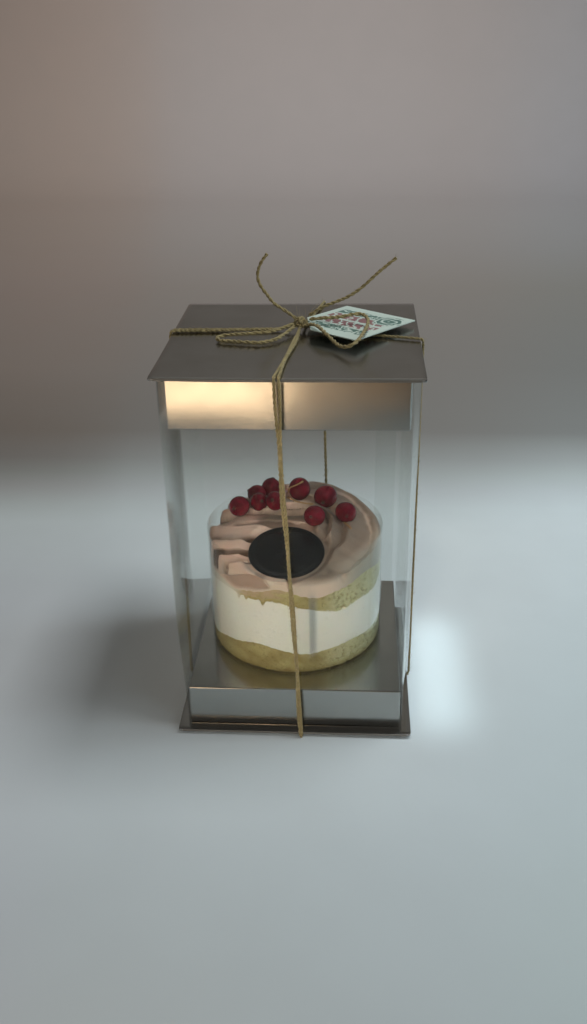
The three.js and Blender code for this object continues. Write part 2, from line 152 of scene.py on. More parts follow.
def startPiece(name, primitive, **settings):
    bpy.ops.object.select_all(action="DESELECT")
    getattr(bpy.ops.mesh, f"primitive_{primitive}_add")(**settings)
    piece = bpy.context.object
    piece.name = name
    piece.data.name = name
    bpy.ops.object.transform_apply(location=True, rotation=True, scale=True)
    return piece


def startBox(name, size, at):
    return startPiece(name, "cube", size=1, scale=[side * mm for side in size], location=[place * mm for place in at])


def pointsOf(piece):
    points = np.empty(len(piece.data.vertices) * 3)
    piece.data.vertices.foreach_get("co", points)
    return points.reshape(-1, 3) / mm


def movePoints(piece, rule):
    piece.data.vertices.foreach_set("co", (rule(pointsOf(piece)) * mm).ravel())
    piece.data.update()


def nameValues(piece, name, values):
    values = np.asarray(values, float)
    kind = "FLOAT_VECTOR" if values.ndim == 2 else "FLOAT"
    field = "vector" if values.ndim == 2 else "value"
    layer = piece.data.attributes.new(name, kind, "POINT")
    layer.data.foreach_set(field, values.ravel())


# Selects faces by their middle and normal, edges by their ends, or corners by their place, and runs the edit steps
def editPiece(piece, kind, test, *steps):
    activate(piece)
    bpy.ops.object.mode_set(mode="EDIT")
    bpy.ops.mesh.select_mode(type=kind)
    bpy.ops.mesh.select_all(action="DESELECT")
    bpy.ops.object.mode_set(mode="OBJECT")
    mesh = piece.data
    if kind == "FACE":
        for face in mesh.polygons:
            face.select = bool(test(face.center / mm, face.normal))
    elif kind == "EDGE":
        for edge in mesh.edges:
            edge.select = bool(test(*(mesh.vertices[i].co / mm for i in edge.vertices)))
    else:
        for vertex in mesh.vertices:
            vertex.select = bool(test(vertex.co / mm))
    bpy.ops.object.mode_set(mode="EDIT")
    for operator, settings in steps:
        getattr(bpy.ops.mesh, operator)(**settings)
    bpy.ops.object.mode_set(mode="OBJECT")


def modify(piece, kind, **settings):
    activate(piece)
    modifier = piece.modifiers.new(kind.title(), kind)
    for key, value in settings.items():
        setattr(modifier, key, value)
    bpy.ops.object.modifier_apply(modifier=modifier.name)


def finishPiece(piece, material, slotName, *nodes, smoothAngle=40):
    activate(piece)
    bpy.ops.object.shade_smooth_by_angle(angle=math.radians(smoothAngle))
    piece.data.materials.clear()
    piece.data.materials.append(material)
    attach(piece, "root")
    if nodes:
        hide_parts(*nodes)
    return piece


def meshPiece(name, points, faces):
    mesh = bpy.data.meshes.new(name)
    mesh.from_pydata((points * mm).tolist(), [], faces)
    mesh.update()
    piece = bpy.data.objects.new(name, mesh)
    bpy.context.collection.objects.link(piece)
    return piece


def ease(value, low, high):
    share = np.clip((value - low) / (high - low), 0, 1)
    return share * share * (3 - 2 * share)


def between(first, second, share):
    return first + (second - first) * share


def bell(value, at, wide):
    return np.exp(-(((value - at) / wide) ** 2))


def lengthAlong(route):
    return np.r_[0, np.cumsum(np.linalg.norm(np.diff(route, axis=0), axis=1))]


def degreesPast(angle, at):
    return (np.degrees(angle) - at + 180) % 360 - 180


# The camera stands where the picture was taken
view = {
    "focalPixels": 978.32, "pictureTall": 1024, "filmTall": 36,
    "azimuth": 3.905, "elevation": 27.357, "roll": -1.146, "at": (24.16, -378.66, 279.1),
}


def placeCamera():
    azimuth, elevation, roll = (math.radians(view[key]) for key in ("azimuth", "elevation", "roll"))
    back = Vector((
        math.sin(azimuth) * math.cos(elevation), -math.cos(azimuth) * math.cos(elevation), math.sin(elevation),
    ))
    right = Vector((math.cos(azimuth), math.sin(azimuth), 0))
    up = back.cross(right)
    turnedRight = right * math.cos(roll) + up * math.sin(roll)
    turnedUp = up * math.cos(roll) - right * math.sin(roll)
    pose = Matrix((turnedRight, turnedUp, back)).transposed().to_4x4()
    pose.translation = Vector(view["at"]) * mm
    bpy.ops.object.camera_add()
    camera = bpy.context.object
    camera.name = "camera"
    camera.matrix_world = pose
    camera.data.sensor_fit = "VERTICAL"
    camera.data.sensor_height = view["filmTall"]
    camera.data.lens = view["focalPixels"] * view["filmTall"] / view["pictureTall"]
    camera.data.clip_start = 0.01
    bpy.context.scene.camera = camera


placeCamera()
print("camera placed")

lidTop = 161.4
platformTop = 21.2

# Two-ply jute twine with loose fibres
twine = {
    "radius": 0.8, "pitch": 5.2, "step": 0.45, "sides": 7, "plyThick": 0.46, "tailSize": 0.9,
    "fuzzPerMm": 1.3, "fuzzThick": 0.045, "fuzzLong": (0.9, 2.6), "freeFuzzLong": (0.6, 1.3),
    "dark": (0.14, 0.10, 0.036, 1), "light": (0.46, 0.37, 0.17, 1), "patch": (0.23, 0.175, 0.065, 1),
}


def evenly(route, spacing):
    lengths = lengthAlong(route)
    at = np.linspace(0, lengths[-1], max(3, round(lengths[-1] / spacing) + 1))
    return np.column_stack([np.interp(at, lengths, route[:, axis]) for axis in range(3)])


# Smooth curve through the route's points
def smoothRoute(points, spacing=0.4):
    points = np.array(points, float)
    ends = np.vstack([2 * points[0] - points[1], points, 2 * points[-1] - points[-2]])
    share = np.linspace(0, 1, 24, endpoint=False)[:, None]
    stretches = []
    for p0, p1, p2, p3 in zip(ends, ends[1:], ends[2:], ends[3:]):
        d0, d1, d2 = (np.linalg.norm(b - a) ** 0.5 for a, b in ((p0, p1), (p1, p2), (p2, p3)))
        leaving = ((p1 - p0) / d0 - (p2 - p0) / (d0 + d1) + (p2 - p1) / d1) * d1
        arriving = ((p2 - p1) / d1 - (p3 - p1) / (d1 + d2) + (p3 - p2) / d2) * d1
        bend = 3 * (p2 - p1) - 2 * leaving - arriving
        stretches.append(p1 + leaving * share + bend * share**2 + (2 * (p1 - p2) + leaving + arriving) * share**3)
    return evenly(np.vstack(stretches + [points[-1:]]), spacing)


def framesAlong(route):
    ahead = np.gradient(route, axis=0)
    ahead /= np.linalg.norm(ahead, axis=1)[:, None]
    side = np.cross(ahead[0], (0.31, 0.22, 0.92))
    sides = []
    for direction in ahead:
        side = side - direction * np.dot(side, direction)
        side /= np.linalg.norm(side)
        sides.append(side)
    return ahead, np.array(sides), np.cross(ahead, np.array(sides))


# A closed tube: its points, its faces, and each point's place round and along it
def tube(route, radius, sides):
    _, side, over = framesAlong(route)
    turn = np.arange(sides) * 2 * np.pi / sides
    outward = np.cos(turn)[None, :, None] * side[:, None] + np.sin(turn)[None, :, None] * over[:, None]
    radius = np.broadcast_to(radius, len(route))
    points = (route[:, None] + radius[:, None, None] * outward).reshape(-1, 3)
    row, column = np.meshgrid(np.arange(len(route) - 1), np.arange(sides), indexing="ij")
    first, second = row * sides + column, row * sides + (column + 1) % sides
    faces = np.stack([first, second, second + sides, first + sides]).reshape(4, -1).T.tolist()
    faces.append(list(range(sides))[::-1])
    faces.append(list(range(len(points) - sides, len(points))))
    along = lengthAlong(route)
    around = [np.tile(wave(turn), len(route)) for wave in (np.cos, np.sin)]
    return points, faces, np.column_stack([*around, np.repeat(along, sides)])


def joinShells(name, shells):
    points, faces, where = [], [], []
    count = 0
    for shellPoints, shellFaces, shellWhere in shells:
        points.append(shellPoints)
        where.append(shellWhere)
        faces += [[i + count for i in face] for face in shellFaces]
        count += len(shellPoints)
    piece = meshPiece(name, np.vstack(points), faces)
    nameValues(piece, "strand", np.vstack(where))
    return piece


def fibre(root, direction, long, thick, rng):
    direction = direction / np.linalg.norm(direction)
    bend = rng.normal(size=3) * 0.35
    share = np.linspace(0, 1, 5)[:, None]
    route = root + long * (direction * share + bend * share**2)
    return tube(route, thick * np.linspace(1, 0.35, 5), 3)


def twistedShells(route, seed, fuzzLong, endFuzz=0, size=1):
    rng = np.random.default_rng(seed)
    route = evenly(route, twine["step"])
    ahead, side, over = framesAlong(route)
    along = lengthAlong(route)
    loosen = 0.5 * np.sin(along * 0.37 + rng.uniform(0, 6)) + 0.3 * np.sin(along * 1.13 + rng.uniform(0, 6))
    shells = []
    for ply in (0, 1):
        phase = 2 * np.pi * along / (twine["pitch"] * size) + ply * np.pi + loosen
        uneven = 0.1 * np.sin(along * 0.8 + rng.uniform(0, 6)) + rng.normal(size=len(route)) * 0.03
        thick = size * twine["plyThick"] * (1 + uneven)
        out = (size * twine["radius"] - thick)[:, None]
        centre = route + out * (np.cos(phase)[:, None] * side + np.sin(phase)[:, None] * over)
        shells.append(tube(centre, thick, twine["sides"]))
    for _ in range(round(along[-1] * twine["fuzzPerMm"])):
        i = rng.integers(len(route))
        turn = rng.uniform(0, 2 * np.pi)
        outward = math.cos(turn) * side[i] + math.sin(turn) * over[i]
        direction = ahead[i] * rng.choice((-1, 1)) * rng.uniform(0.5, 1.4) + outward * rng.uniform(0.25, 0.9)
        root = route[i] + outward * 0.6 * size
        shells.append(fibre(root, direction, rng.uniform(*fuzzLong), twine["fuzzThick"], rng))
    for _ in range(endFuzz):
        sideways = rng.normal(size=3) * 0.35
        root = route[-1] + rng.normal(size=3) * 0.25 - ahead[-1] * 0.5
        shells.append(fibre(root, ahead[-1] + sideways, rng.uniform(0.8, 1.5), twine["fuzzThick"], rng))
    return shells


def jutePaint():
    paint = Paint("jute", Roughness=0.82, Sheen_Weight=0.25, Sheen_Roughness=0.5)
    strand = paint.attribute("strand", "Vector")
    streaks = paint.node("Mapping", {}, {"Vector": strand, "Scale": (2.6, 2.6, 0.32)})
    fibres = paint.grain(streaks, 2.4, 4, 0.7)
    patches = paint.grain(paint.place(), 0.16, 3)
    light = paint.mixed(paint.eased(fibres, 0.34, 0.66), twine["dark"], twine["light"])
    colour = paint.mixed(paint.eased(patches, 0.35, 0.7) * 0.55, light, twine["patch"])
    return paint.finish(Base_Color=colour, Normal=paint.bumped(fibres, 0.14))


jute = jutePaint()

# Free ends of the bow, from the box's middle, with the height over the lid
bow = {
    "bow_loop_left": [
        (-0.8, 6, 3.6), (-4.6, 2.2, 3.2), (-8.6, -0.6, 2.7), (-15.8, -2.4, 2.4), (-23.9, -2.6, 2),
        (-27.4, -2.6, 1.6), (-29.8, -4.1, 1.4), (-29.9, -6.9, 1.3), (-27.3, -8.4, 1.2), (-23, -9.2, 1.2),
        (-17.9, -10.3, 1.2), (-12.3, -10.6, 1.2), (-7.1, -7.4, 1.4), (-3.9, -1.6, 1.7), (-1.9, 2.7, 2.1),
        (-0.2, 5.6, 2.8),
    ],
    "bow_loop_right": [
        (6, 6.4, 5.6), (11.4, 5, 6.4), (18.6, 5.1, 6.9), (23.8, 6.6, 7.5), (27, 7.4, 7.3), (29.1, 3.6, 6.8),
        (29.1, -3.9, 6.2), (27.2, -14.4, 5.8), (25.2, -20.4, 5), (22.2, -23, 3.7), (18.8, -19.8, 2.7),
        (15.2, -13, 3.4), (11.8, -7.6, 5), (8.6, -0.9, 5.3), (5.4, 4.1, 4.2),
    ],
    "bow_tail_left": [
        (0.5, 9.9, 4.7), (-4.2, 10.6, 7.9), (-8.7, 10.9, 10.9), (-11.8, 11.4, 14.7), (-14.3, 11.8, 18.4),
        (-15.1, 12.2, 21.6), (-14.6, 12.5, 24.4), (-13.2, 12.9, 27.4), (-11.1, 13.2, 30.1),
    ],
    "bow_tail_right": [
        (5.6, 10.2, 6), (10.7, 10.5, 9.2), (16, 10.7, 11.3), (20.7, 10.9, 13.2), (24.8, 11.2, 15.6),
        (28.3, 11.4, 18.4), (33.9, 11.9, 23.5), (40.2, 12.4, 28.5),
    ],
}


def layBow():
    for seed, (node, route) in enumerate(bow.items()):
        route = smoothRoute([(x, y, z + lidTop) for x, y, z in route])
        tail = "tail" in node
        size = twine["tailSize"] if tail else 1
        shells = twistedShells(route, seed, twine["freeFuzzLong"], endFuzz=5 if tail else 0, size=size)
        piece = finishPiece(joinShells(f"{node}_twine", shells), jute, "jute", node, smoothAngle=60)


layBow()

# The tie: where each strand crosses the edge of the lid (top) and of the base (foot)
knotAt = np.array((2.4, 8.2, lidTop + 3.2))
tie = {
    "front": {
        "out": (0, -1), "top": -3.8, "foot": 3.1, "under": (6.8, -6.65), "apart": (0.3, 0.45, 64, 22), "size": 0.86,
    },
    "back": {"out": (0, 1), "top": 10.6, "foot": 10.5, "under": (6.8, -3.85), "size": 0.9},
    "left": {"out": (-1, 0), "top": 6.1, "foot": -6, "under": (0, -5.25), "apart": (0.32, 0.85, 38, 16), "size": 0.8},
    "right": {"out": (1, 0), "top": -4.9, "foot": -4.5, "under": (0, -5.25), "size": 0.74},
}
tieReach = {"lie": 0.85, "edge": 51.1, "bend": 1.1, "half": 50}


# A point of the tie, by its reach from the box's middle, its place along that side, and its height
def tiePoint(out, reach, along, z):
    out = np.array(out)
    return np.array((*(out * reach + np.abs(out[::-1]) * along), z))


def tieRoute(out, top, foot):
    lie, bend = tieReach["lie"], tieReach["bend"]
    high = lidTop + lie - bend
    edge = tieReach["half"] + lie + 0.15 - bend
    turns = np.radians(np.arange(0, 91, 15))
    over = [tiePoint(out, edge + bend * math.sin(t), top, high + bend * math.cos(t)) for t in turns]
    start = knotAt + (over[0] - knotAt) * 0.05
    start[2] = lidTop + 2.6
    landing = knotAt + (over[0] - knotAt) * 0.17
    landing[2] = lidTop + lie + 0.1
    base = tiePoint(out, edge + bend, foot, 1.6)
    tucked = tiePoint(out, edge + bend - 0.6, foot, 0.75)
    stations = [start, landing, *over, between(over[-1], base, 0.5), base, tucked]
    return evenly(np.vstack(stations), 0.4)


# Hand-laid twine is never quite straight
def wavered(route, seed, much):
    along = np.linspace(0, 1, len(route))
    calm = np.minimum(1, 6 * np.minimum(along, 1 - along))[:, None]
    rng = np.random.default_rng(seed)
    sway = sum(np.sin(along[:, None] * turns + rng.uniform(0, 6, 3)) / turns * 18 for turns in (11, 23, 41))
    return route + sway * calm * much


def smoothCorners(route, width=5):
    padded = np.vstack([route[:1]] * width + [route] + [route[-1:]] * width)
    kernel = np.ones(2 * width + 1) / (2 * width + 1)
    return np.column_stack([np.convolve(padded[:, axis], kernel, "valid") for axis in range(3)])


# Two strands lie side by side: how far apart they are in general, at most, where along, and over what length
def threadOffsets(route, strand):
    if "apart" not in strand:
        return [np.zeros(3)]
    close, wide, where, over = strand["apart"]
    along = lengthAlong(route)
    apart = close + wide * bell(along, where, over) + 0.2 * np.sin(along * 0.13)
    apart = apart * ease(along, 0, 12)
    side = np.abs((*strand["out"][::-1], 0))
    return [apart[:, None] * side, -apart[:, None] * side]


def layTie():
    for seed, (name, strand) in enumerate(tie.items(), 10):
        route = smoothCorners(tieRoute(strand["out"], strand["top"], strand["foot"]), 2)
        route = wavered(route, seed, np.array((0.16, 0.16, 0.05)) * (1 - np.abs((*strand["out"], 0))))
        shells = []
        for thread, offset in enumerate(threadOffsets(route, strand)):
            shells += twistedShells(route + offset, seed + 7 * thread, twine["fuzzLong"], size=strand["size"])
        piece = joinShells(f"tie_strand_{name}", shells)
        movePoints(piece, lambda points: np.maximum(points, (-99, -99, 0.03)))
        finishPiece(piece, jute, "jute", f"twine_{name}", smoothAngle=60)
        start = tiePoint(strand["out"], tieReach["edge"] - 0.2, strand["foot"], 0.5)
        under = evenly(np.vstack([start, (*strand["under"], 0.5)]), 0.6)
        shells = twistedShells(under, seed + 10, (0.5, 1.1))
        piece = joinShells(f"tie_under_{name}", shells)
        movePoints(piece, flattened)
        node = {"front": "twine_under_front", "back": "twine_under_back"}.get(name, "twine_under_across")
        finishPiece(piece, jute, "jute", node, smoothAngle=60)


def flattened(points):
    points = points.copy()
    points[:, 2] = np.clip(0.5 + (points[:, 2] - 0.5) * 0.6, 0.02, 1.2)
    return points


knot = {
    "turnRadius": 1.9,
    "wraps": [
        {"tilt": (0, 0.2, 0), "at": (0, 0, -0.5), "wide": 1.25},
        {"tilt": (1.35, 0.3, 0.2), "at": (-0.4, 0.1, 0.35), "wide": 1.1},
        {"tilt": (0.4, 1.3, 0.5), "at": (0.5, -0.1, 0.5), "wide": 1.1},
    ],
    "frays": 60,
    "longFrays": [
        ((3, 3, 2.5), (0.45, 0.2, 1), 6.5), ((2, 3, 2), (0.1, 0.4, 1), 5.2), ((-1, 2, 2), (-0.5, 0.3, 0.8), 4.6),
        ((3, -2, 1), (1, -0.8, 0.2), 4.4), ((-3, -1, 1), (-1, -0.5, 0.1), 5), ((1, -3, 0.5), (0.2, -1, 0.1), 4.8),
    ],
}


def tieKnot():
    rng = np.random.default_rng(31)
    shells = []
    for seed, wrap in enumerate(knot["wraps"], 40):
        turn = np.linspace(0, 2 * np.pi, 60)
        radius = knot["turnRadius"] * wrap["wide"] + 0.25 * np.sin(2 * turn + seed)
        circle = np.column_stack([radius * np.cos(turn), 0.8 * radius * np.sin(turn), 0.35 * np.sin(turn * 1.5)])
        a, b, c = wrap["tilt"]
        turned = Matrix.Rotation(a, 3, "X") @ Matrix.Rotation(b, 3, "Y") @ Matrix.Rotation(c, 3, "Z")
        circle = circle @ np.array(turned).T + knotAt + np.array(wrap["at"])
        shells += twistedShells(circle, seed, (0.9, 2.2))
    core = np.array([(-1.2, -0.4, -0.6), (0, 0.2, 0.2), (1.2, 0.3, 0.8)]) + knotAt
    shells.append(tube(smoothRoute(core), 1.5, 10))
    for _ in range(knot["frays"]):
        outward = rng.normal(size=3)
        outward[2] = abs(outward[2]) * 0.8
        outward /= np.linalg.norm(outward)
        direction = outward + rng.normal(size=3) * 0.5
        shells.append(fibre(knotAt + outward * 2.2, direction, rng.uniform(1.2, 3.6), 0.05, rng))
    for root, direction, long in knot["longFrays"]:
        shells.append(fibre(knotAt + np.array(root) * 0.8, np.array(direction, float), long, 0.07, rng))
    finishPiece(joinShells("bow_knot", shells), jute, "jute", "twine_knot", smoothAngle=60)


layTie()
tieKnot()
print("twine laid and tied")


# Daylight from high and low on the right, warm light and a small lamp at the front left, a pool of light at the foot
lights = {
    "skylight": {
        "at": (232, 0, 860), "aim": (0, 0, 60), "size": (330, 190), "watts": 2.75, "colour": (0.98, 1, 0.99),
    },
    "window": {"at": (620, 40, 520), "aim": (0, 0, 40), "size": (360, 420), "watts": 1.65, "colour": (0.73, 0.92, 1)},
    "side": {"at": (420, -420, 260), "aim": (0, 0, 60), "size": (200, 200), "watts": 0.38, "colour": (0.79, 0.9, 1)},
    "room": {"at": (-110, -560, 96), "aim": (0, 0, 66), "size": (150, 110), "watts": 0.35, "colour": (1, 0.94, 0.84)},
    "lowFill": {
        "at": (-30, -520, 300), "aim": (-2, 0, 58), "size": (70, 70), "watts": 0.0078, "colour": (1, 0.94, 0.82),
        "spread": 18,
    },
    "highFill": {
        "at": (-170, -470, 430), "aim": (-2, 0, 58), "size": (70, 70), "watts": 0.011, "colour": (1, 0.92, 0.8),
        "spread": 18,
    },
    "lamp": {"at": (-80, -352, 59), "aim": (-20, 0, 90), "size": (113, 69), "watts": 0.097, "colour": (1, 0.7, 0.43)},
    "lampGlow": {
        "at": (8, -352, 61), "aim": (0, 0, 90), "size": (112, 64), "watts": 0.0082, "colour": (1, 0.65, 0.38),
    },
    "wash": {"at": (0, 800, 900), "aim": (0, 1500, 300), "size": (900, 300), "watts": 6.5, "colour": (1, 0.97, 0.92)},
    "glow": {
        "at": (62, -1, 90), "aim": (64, -1, 0), "size": (84, 16), "watts": 0.003, "colour": (0.77, 0.95, 1),
        "spread": 27,
    },
}
mirrored = ("skylight", "lamp", "lampGlow")  # lights seen in glossy surfaces
ambient = (0.084, 0.08, 0.075)


def placeLights():
    for name, light in lights.items():
        bpy.ops.object.light_add(type="AREA", location=Vector(light["at"]) * mm)
        lamp = bpy.context.object
        lamp.name = name
        lamp.data.shape = "RECTANGLE"
        lamp.data.size, lamp.data.size_y = (side * mm for side in light["size"])
        lamp.data.energy = light["watts"]
        lamp.data.color = light["colour"]
        lamp.data.spread = math.radians(light.get("spread", 180))
        lamp.rotation_euler = (Vector(light["aim"]) - Vector(light["at"])).to_track_quat("-Z", "Y").to_euler()
        lamp.visible_camera = False
        lamp.visible_glossy = name in mirrored
    world = bpy.data.worlds.new("room")
    bpy.context.scene.world = world
    world.use_nodes = True
    world.node_tree.nodes["Background"].inputs["Color"].default_value = (*ambient, 1)


# A pale table in front of a plain wall, with painted light and shade in its tones: painted shade towards the front,
# a painted dark band where the table meets the wall and another high on the wall, and a painted brighter right side.
# Each row gives a place along the sweep, its tone at the left and its tone at the right, and "across" says where one
# side's tone gives way to the other's
stand = {
    "half": 1700, "front": -1500, "bendAt": 1250, "bend": 300, "high": 1500, "speck": (0.3, 0.3, 0.3, 1),
    "shadedTones": [
        (-450, (0.05, 0.048, 0.046), (0.05, 0.048, 0.046)), (-400, (0.22, 0.22, 0.22), (0.25, 0.28, 0.29)),
        (-190, (0.5, 0.53, 0.57), (0.485, 0.55, 0.56)), (-140, (0.58, 0.615, 0.66), (0.55, 0.62, 0.63)),
        (-90, (0.715, 0.76, 0.8), (0.6, 0.67, 0.69)), (60, (0.72, 0.75, 0.785), (0.73, 0.8, 0.825)),
        (145, (0.7, 0.745, 0.75), (0.79, 0.865, 0.895)), (165, (0.595, 0.63, 0.62), (0.795, 0.875, 0.905)),
        (190, (0.45, 0.44, 0.43), (0.725, 0.79, 0.82)), (215, (0.315, 0.305, 0.285), (0.62, 0.68, 0.685)),
        (240, (0.255, 0.225, 0.205), (0.49, 0.525, 0.53)), (290, (0.25, 0.205, 0.175), (0.29, 0.297, 0.292)),
        (430, (0.31, 0.255, 0.225), (0.265, 0.267, 0.26)), (700, (0.31, 0.25, 0.225), (0.28, 0.28, 0.27)),
        (900, (0.318, 0.259, 0.23), (0.312, 0.322, 0.335)), (1050, (0.342, 0.28, 0.248), (0.342, 0.355, 0.375)),
        (1250, (0.395, 0.324, 0.288), (0.392, 0.402, 0.43)),
        (1420, (0.432, 0.356, 0.317), (0.427, 0.434, 0.467)), (1600, (0.45, 0.37, 0.33), (0.445, 0.45, 0.48)),
        (1900, (0.455, 0.37, 0.33), (0.46, 0.455, 0.475)), (2080, (0.153, 0.141, 0.127), (0.146, 0.135, 0.126)),
        (2300, (0.153, 0.145, 0.135), (0.146, 0.139, 0.13)), (2650, (0.5, 0.5, 0.48), (0.5, 0.5, 0.48)),
    ],
    "across": [
        (-0.6, 0), (-0.38, 0.07), (-0.32, 0.14), (-0.275, 0.26), (-0.235, 0.45), (-0.19, 0.53), (0, 0.6),
        (0.15, 0.64), (0.2, 0.72), (0.25, 0.86), (0.3, 0.98), (0.6, 1),
    ],
}


def placeStand():
    floor = startPiece("stand_floor", "grid", x_subdivisions=8, y_subdivisions=160, size=2 * mm)
    flat = stand["bendAt"] - stand["front"]
    arc = stand["bend"] * math.pi / 2
    total = flat + arc + stand["high"]

    def sweep(points):
        run = (points[:, 1] + 1) / 2 * total
        turn = np.clip((run - flat) / stand["bend"], 0, math.pi / 2)
        up = np.maximum(0, run - flat - arc)
        y = stand["front"] + np.minimum(run, flat) + stand["bend"] * np.sin(turn)
        z = stand["bend"] * (1 - np.cos(turn)) + up
        return np.column_stack([points[:, 0] * stand["half"], y, z])

    movePoints(floor, sweep)
    paint = Paint("stand_paint", Roughness=0.75)
    where = paint.place()
    x, y, z = (paint.node("SeparateXYZ", {}, {"Vector": where}, axis) for axis in "XYZ")
    specks = paint.grain(where, 0.02, 3)
    # Painted light and shade: the tone ramps darken the front and the foot of the wall and brighten the right side
    left, right = (paint.ramp(y + z, [(row[0], row[side]) for row in stand["shadedTones"]]) for side in (1, 2))
    shares = [(at, (share, share, share)) for at, share in stand["across"]]
    shadedTone = paint.mixed(paint.ramp(x / (y * 0.6 + 420), shares), left, right)
    colour = paint.mixed(paint.eased(specks, 0.3, 0.7) * 0.05, shadedTone, stand["speck"])
    floor.data.materials.append(paint.finish(Base_Color=colour))
    activate(floor)
    bpy.ops.object.shade_smooth()


placeLights()
placeStand()
bpy.context.scene.view_settings.view_transform = "Standard"
bpy.context.scene.cycles.transparent_max_bounces = 40
print("lights and stand placed")


# Satin silver card: brushed very finely, with rubbed edges
def cardPaint(name, tint, roughness):
    paint = Paint(name, Metallic=1.0)
    smudges = paint.grain(paint.place(), 0.035, 4, 0.6)
    brushed = paint.grain(paint.place((1, 0.08, 1)), 5, 2)
    colour = paint.mixed(paint.eased(smudges, 0.3, 0.75) * 0.3, tint, tuple(0.84 * c for c in tint[:3]) + (1,))
    edge = paint.attribute("rubbed")
    colour = paint.mixed(edge, colour, cards["worn"])
    rough = paint.eased(smudges, 0.3, 0.8, roughness - 0.04, roughness + 0.06) + brushed * 0.05 + edge * 0.2
    return paint.finish(Base_Color=colour, Roughness=rough, Metallic=1 - edge)


cards = {
    "half": 50, "thick": 1, "corner": 0.8, "cuts": 44, "edge": 0.12,
    "tray": 45, "trayCuts": 22, "fold": 0.45, "bow": 0.22, "worn": (0.125, 0.117, 0.103, 1),
    "tint": (0.47, 0.465, 0.45, 1), "roughness": 0.17,
}


def cardPlate(name, node, low, lift):
    half, corner = cards["half"], cards["corner"]
    piece = startPiece(name, "grid", x_subdivisions=cards["cuts"], y_subdivisions=cards["cuts"], size=2 * half * mm)

    def shape(points):
        turn = np.abs(points[:, :2]) - (half - corner)
        past = np.maximum(turn, 0)
        squared = np.linalg.norm(past, axis=1) / np.maximum(past.max(axis=1), 1e-6)
        pull = np.where((turn > 0).all(axis=1), 1 / np.maximum(squared, 1), 1)[:, None]
        flat = np.sign(points[:, :2]) * np.where(turn > 0, half - corner + past * pull, np.abs(points[:, :2]))
        rise = lift * ease(-points[:, 0], 25, 50) * ease(-points[:, 1], 25, 50)
        return np.column_stack([flat, low + rise])

    movePoints(piece, shape)
    modify(piece, "SOLIDIFY", thickness=cards["thick"] * mm, offset=1)
    modify(piece, "BEVEL", width=cards["edge"] * mm, segments=2, limit_method="ANGLE", angle_limit=math.radians(60))
    points = pointsOf(piece)
    middle = np.abs(points[:, 2] - points[:, 2].min() - cards["thick"] / 2) < cards["thick"] / 2 + lift + 0.1
    nameValues(piece, "rubbed", np.where(middle & (np.abs(points[:, :2]).max(axis=1) > half - 0.05), 0.95, 0))
    return finishPiece(piece, silverCard, "silver_card", node)


def cardTray(name, node, low, high):
    half = cards["tray"]
    tall = high - low
    piece = startBox(name, (2 * half, 2 * half, tall), (0, 0, (low + high) / 2))
    editPiece(piece, "FACE", lambda middle, normal: True, ("subdivide", {"number_cuts": cards["trayCuts"]}))
    fold = ("bevel", {"offset": cards["fold"] * mm, "segments": 3})
    editPiece(piece, "EDGE", lambda a, b: onRim(a, b, half, low, high), fold)

    def shape(points):
        x, y, z = points.T
        share = np.clip((z - low) / tall, 0, 1)
        belly = cards["bow"] * np.sin(np.pi * share) ** 0.8
        sway = 0.6 + 0.4 * np.sin(x * 0.07 + y * 0.05 + 1)
        face = np.abs(points[:, :2]) > half - 0.02
        pushed = points.copy()
        pushed[:, :2] += np.sign(points[:, :2]) * face * (belly * sway)[:, None]
        return pushed

    movePoints(piece, shape)
    points = pointsOf(piece)
    nameValues(piece, "rubbed", 0.12 * (np.sum(np.abs(points[:, :2]) > half - 0.3, axis=1) > 1))
    return finishPiece(piece, silverCard, "silver_card", node, smoothAngle=10)


# An edge along one of the tray's twelve folds
def onRim(a, b, half, low, high):
    def fixed(point):
        sides = [abs(abs(point[axis]) - half) < 0.01 for axis in (0, 1)]
        return sides + [min(abs(point.z - low), abs(point.z - high)) < 0.01]

    return sum(p and q for p, q in zip(fixed(a), fixed(b))) >= 2


silverCard = cardPaint("silver_card", cards["tint"], cards["roughness"])
cardPlate("base_card", "base_plate", 1.3, 0)
cardTray("base_tray", "base_platform", 2.4, 21.2)
cardTray("lid_tray", "lid_insert", 139.9, 160.3)
cardPlate("lid_card", "lid_plate", 160.4, 0.35)
print("box card made")


# Clear film: a closed thin wall that reflects more the flatter it is seen
def filmPaint(name, through, haze):
    paint = Paint(name, Metallic=1.0)
    where = paint.place()
    ripple = paint.grain(where, 0.03, 2)
    scuffs = paint.grain(where, 0.12, 5, 0.7)
    clear = paint.node("BsdfTransparent", {}, {"Color": through})
    facing = paint.node("LayerWeight", {}, {"Blend": 0.5}, "Facing")
    share = facing**5 * 0.9 + haze + paint.eased(scuffs, 0.62, 0.8) * 0.02
    # Painted shade: where marked, the film is painted darker and less clear, in its shade tint
    shadeTint = paint.attribute("overlap")
    share = share + shadeTint * 0.4
    paint.finish(Base_Color=paint.mixed(shadeTint, sleeve["clear"], sleeve["shadeTint"]))
    paint.finish(Roughness=paint.eased(scuffs, 0.3, 0.8, 0.04, 0.12), Normal=paint.bumped(ripple, 0.25, 0.5))
    both = paint.node("MixShader", {}, {0: paint.maths("MINIMUM", share, 1), 1: clear, 2: paint.body})
    paint.plug(paint.surface.inputs["Surface"], both)
    return paint.material


sleeve = {
    "half": 46, "wall": 0.4, "crease": 0.9, "low": 2.6, "high": 160.1, "cuts": 36,
    "bulge": {"left": 1.9, "right": 2.6, "front": 0.35, "back": 0.5}, "flap": (9.5, 0.3),
    "clear": (0.94, 0.96, 0.95, 1), "shadeTint": (0.30, 0.29, 0.26, 1),
}


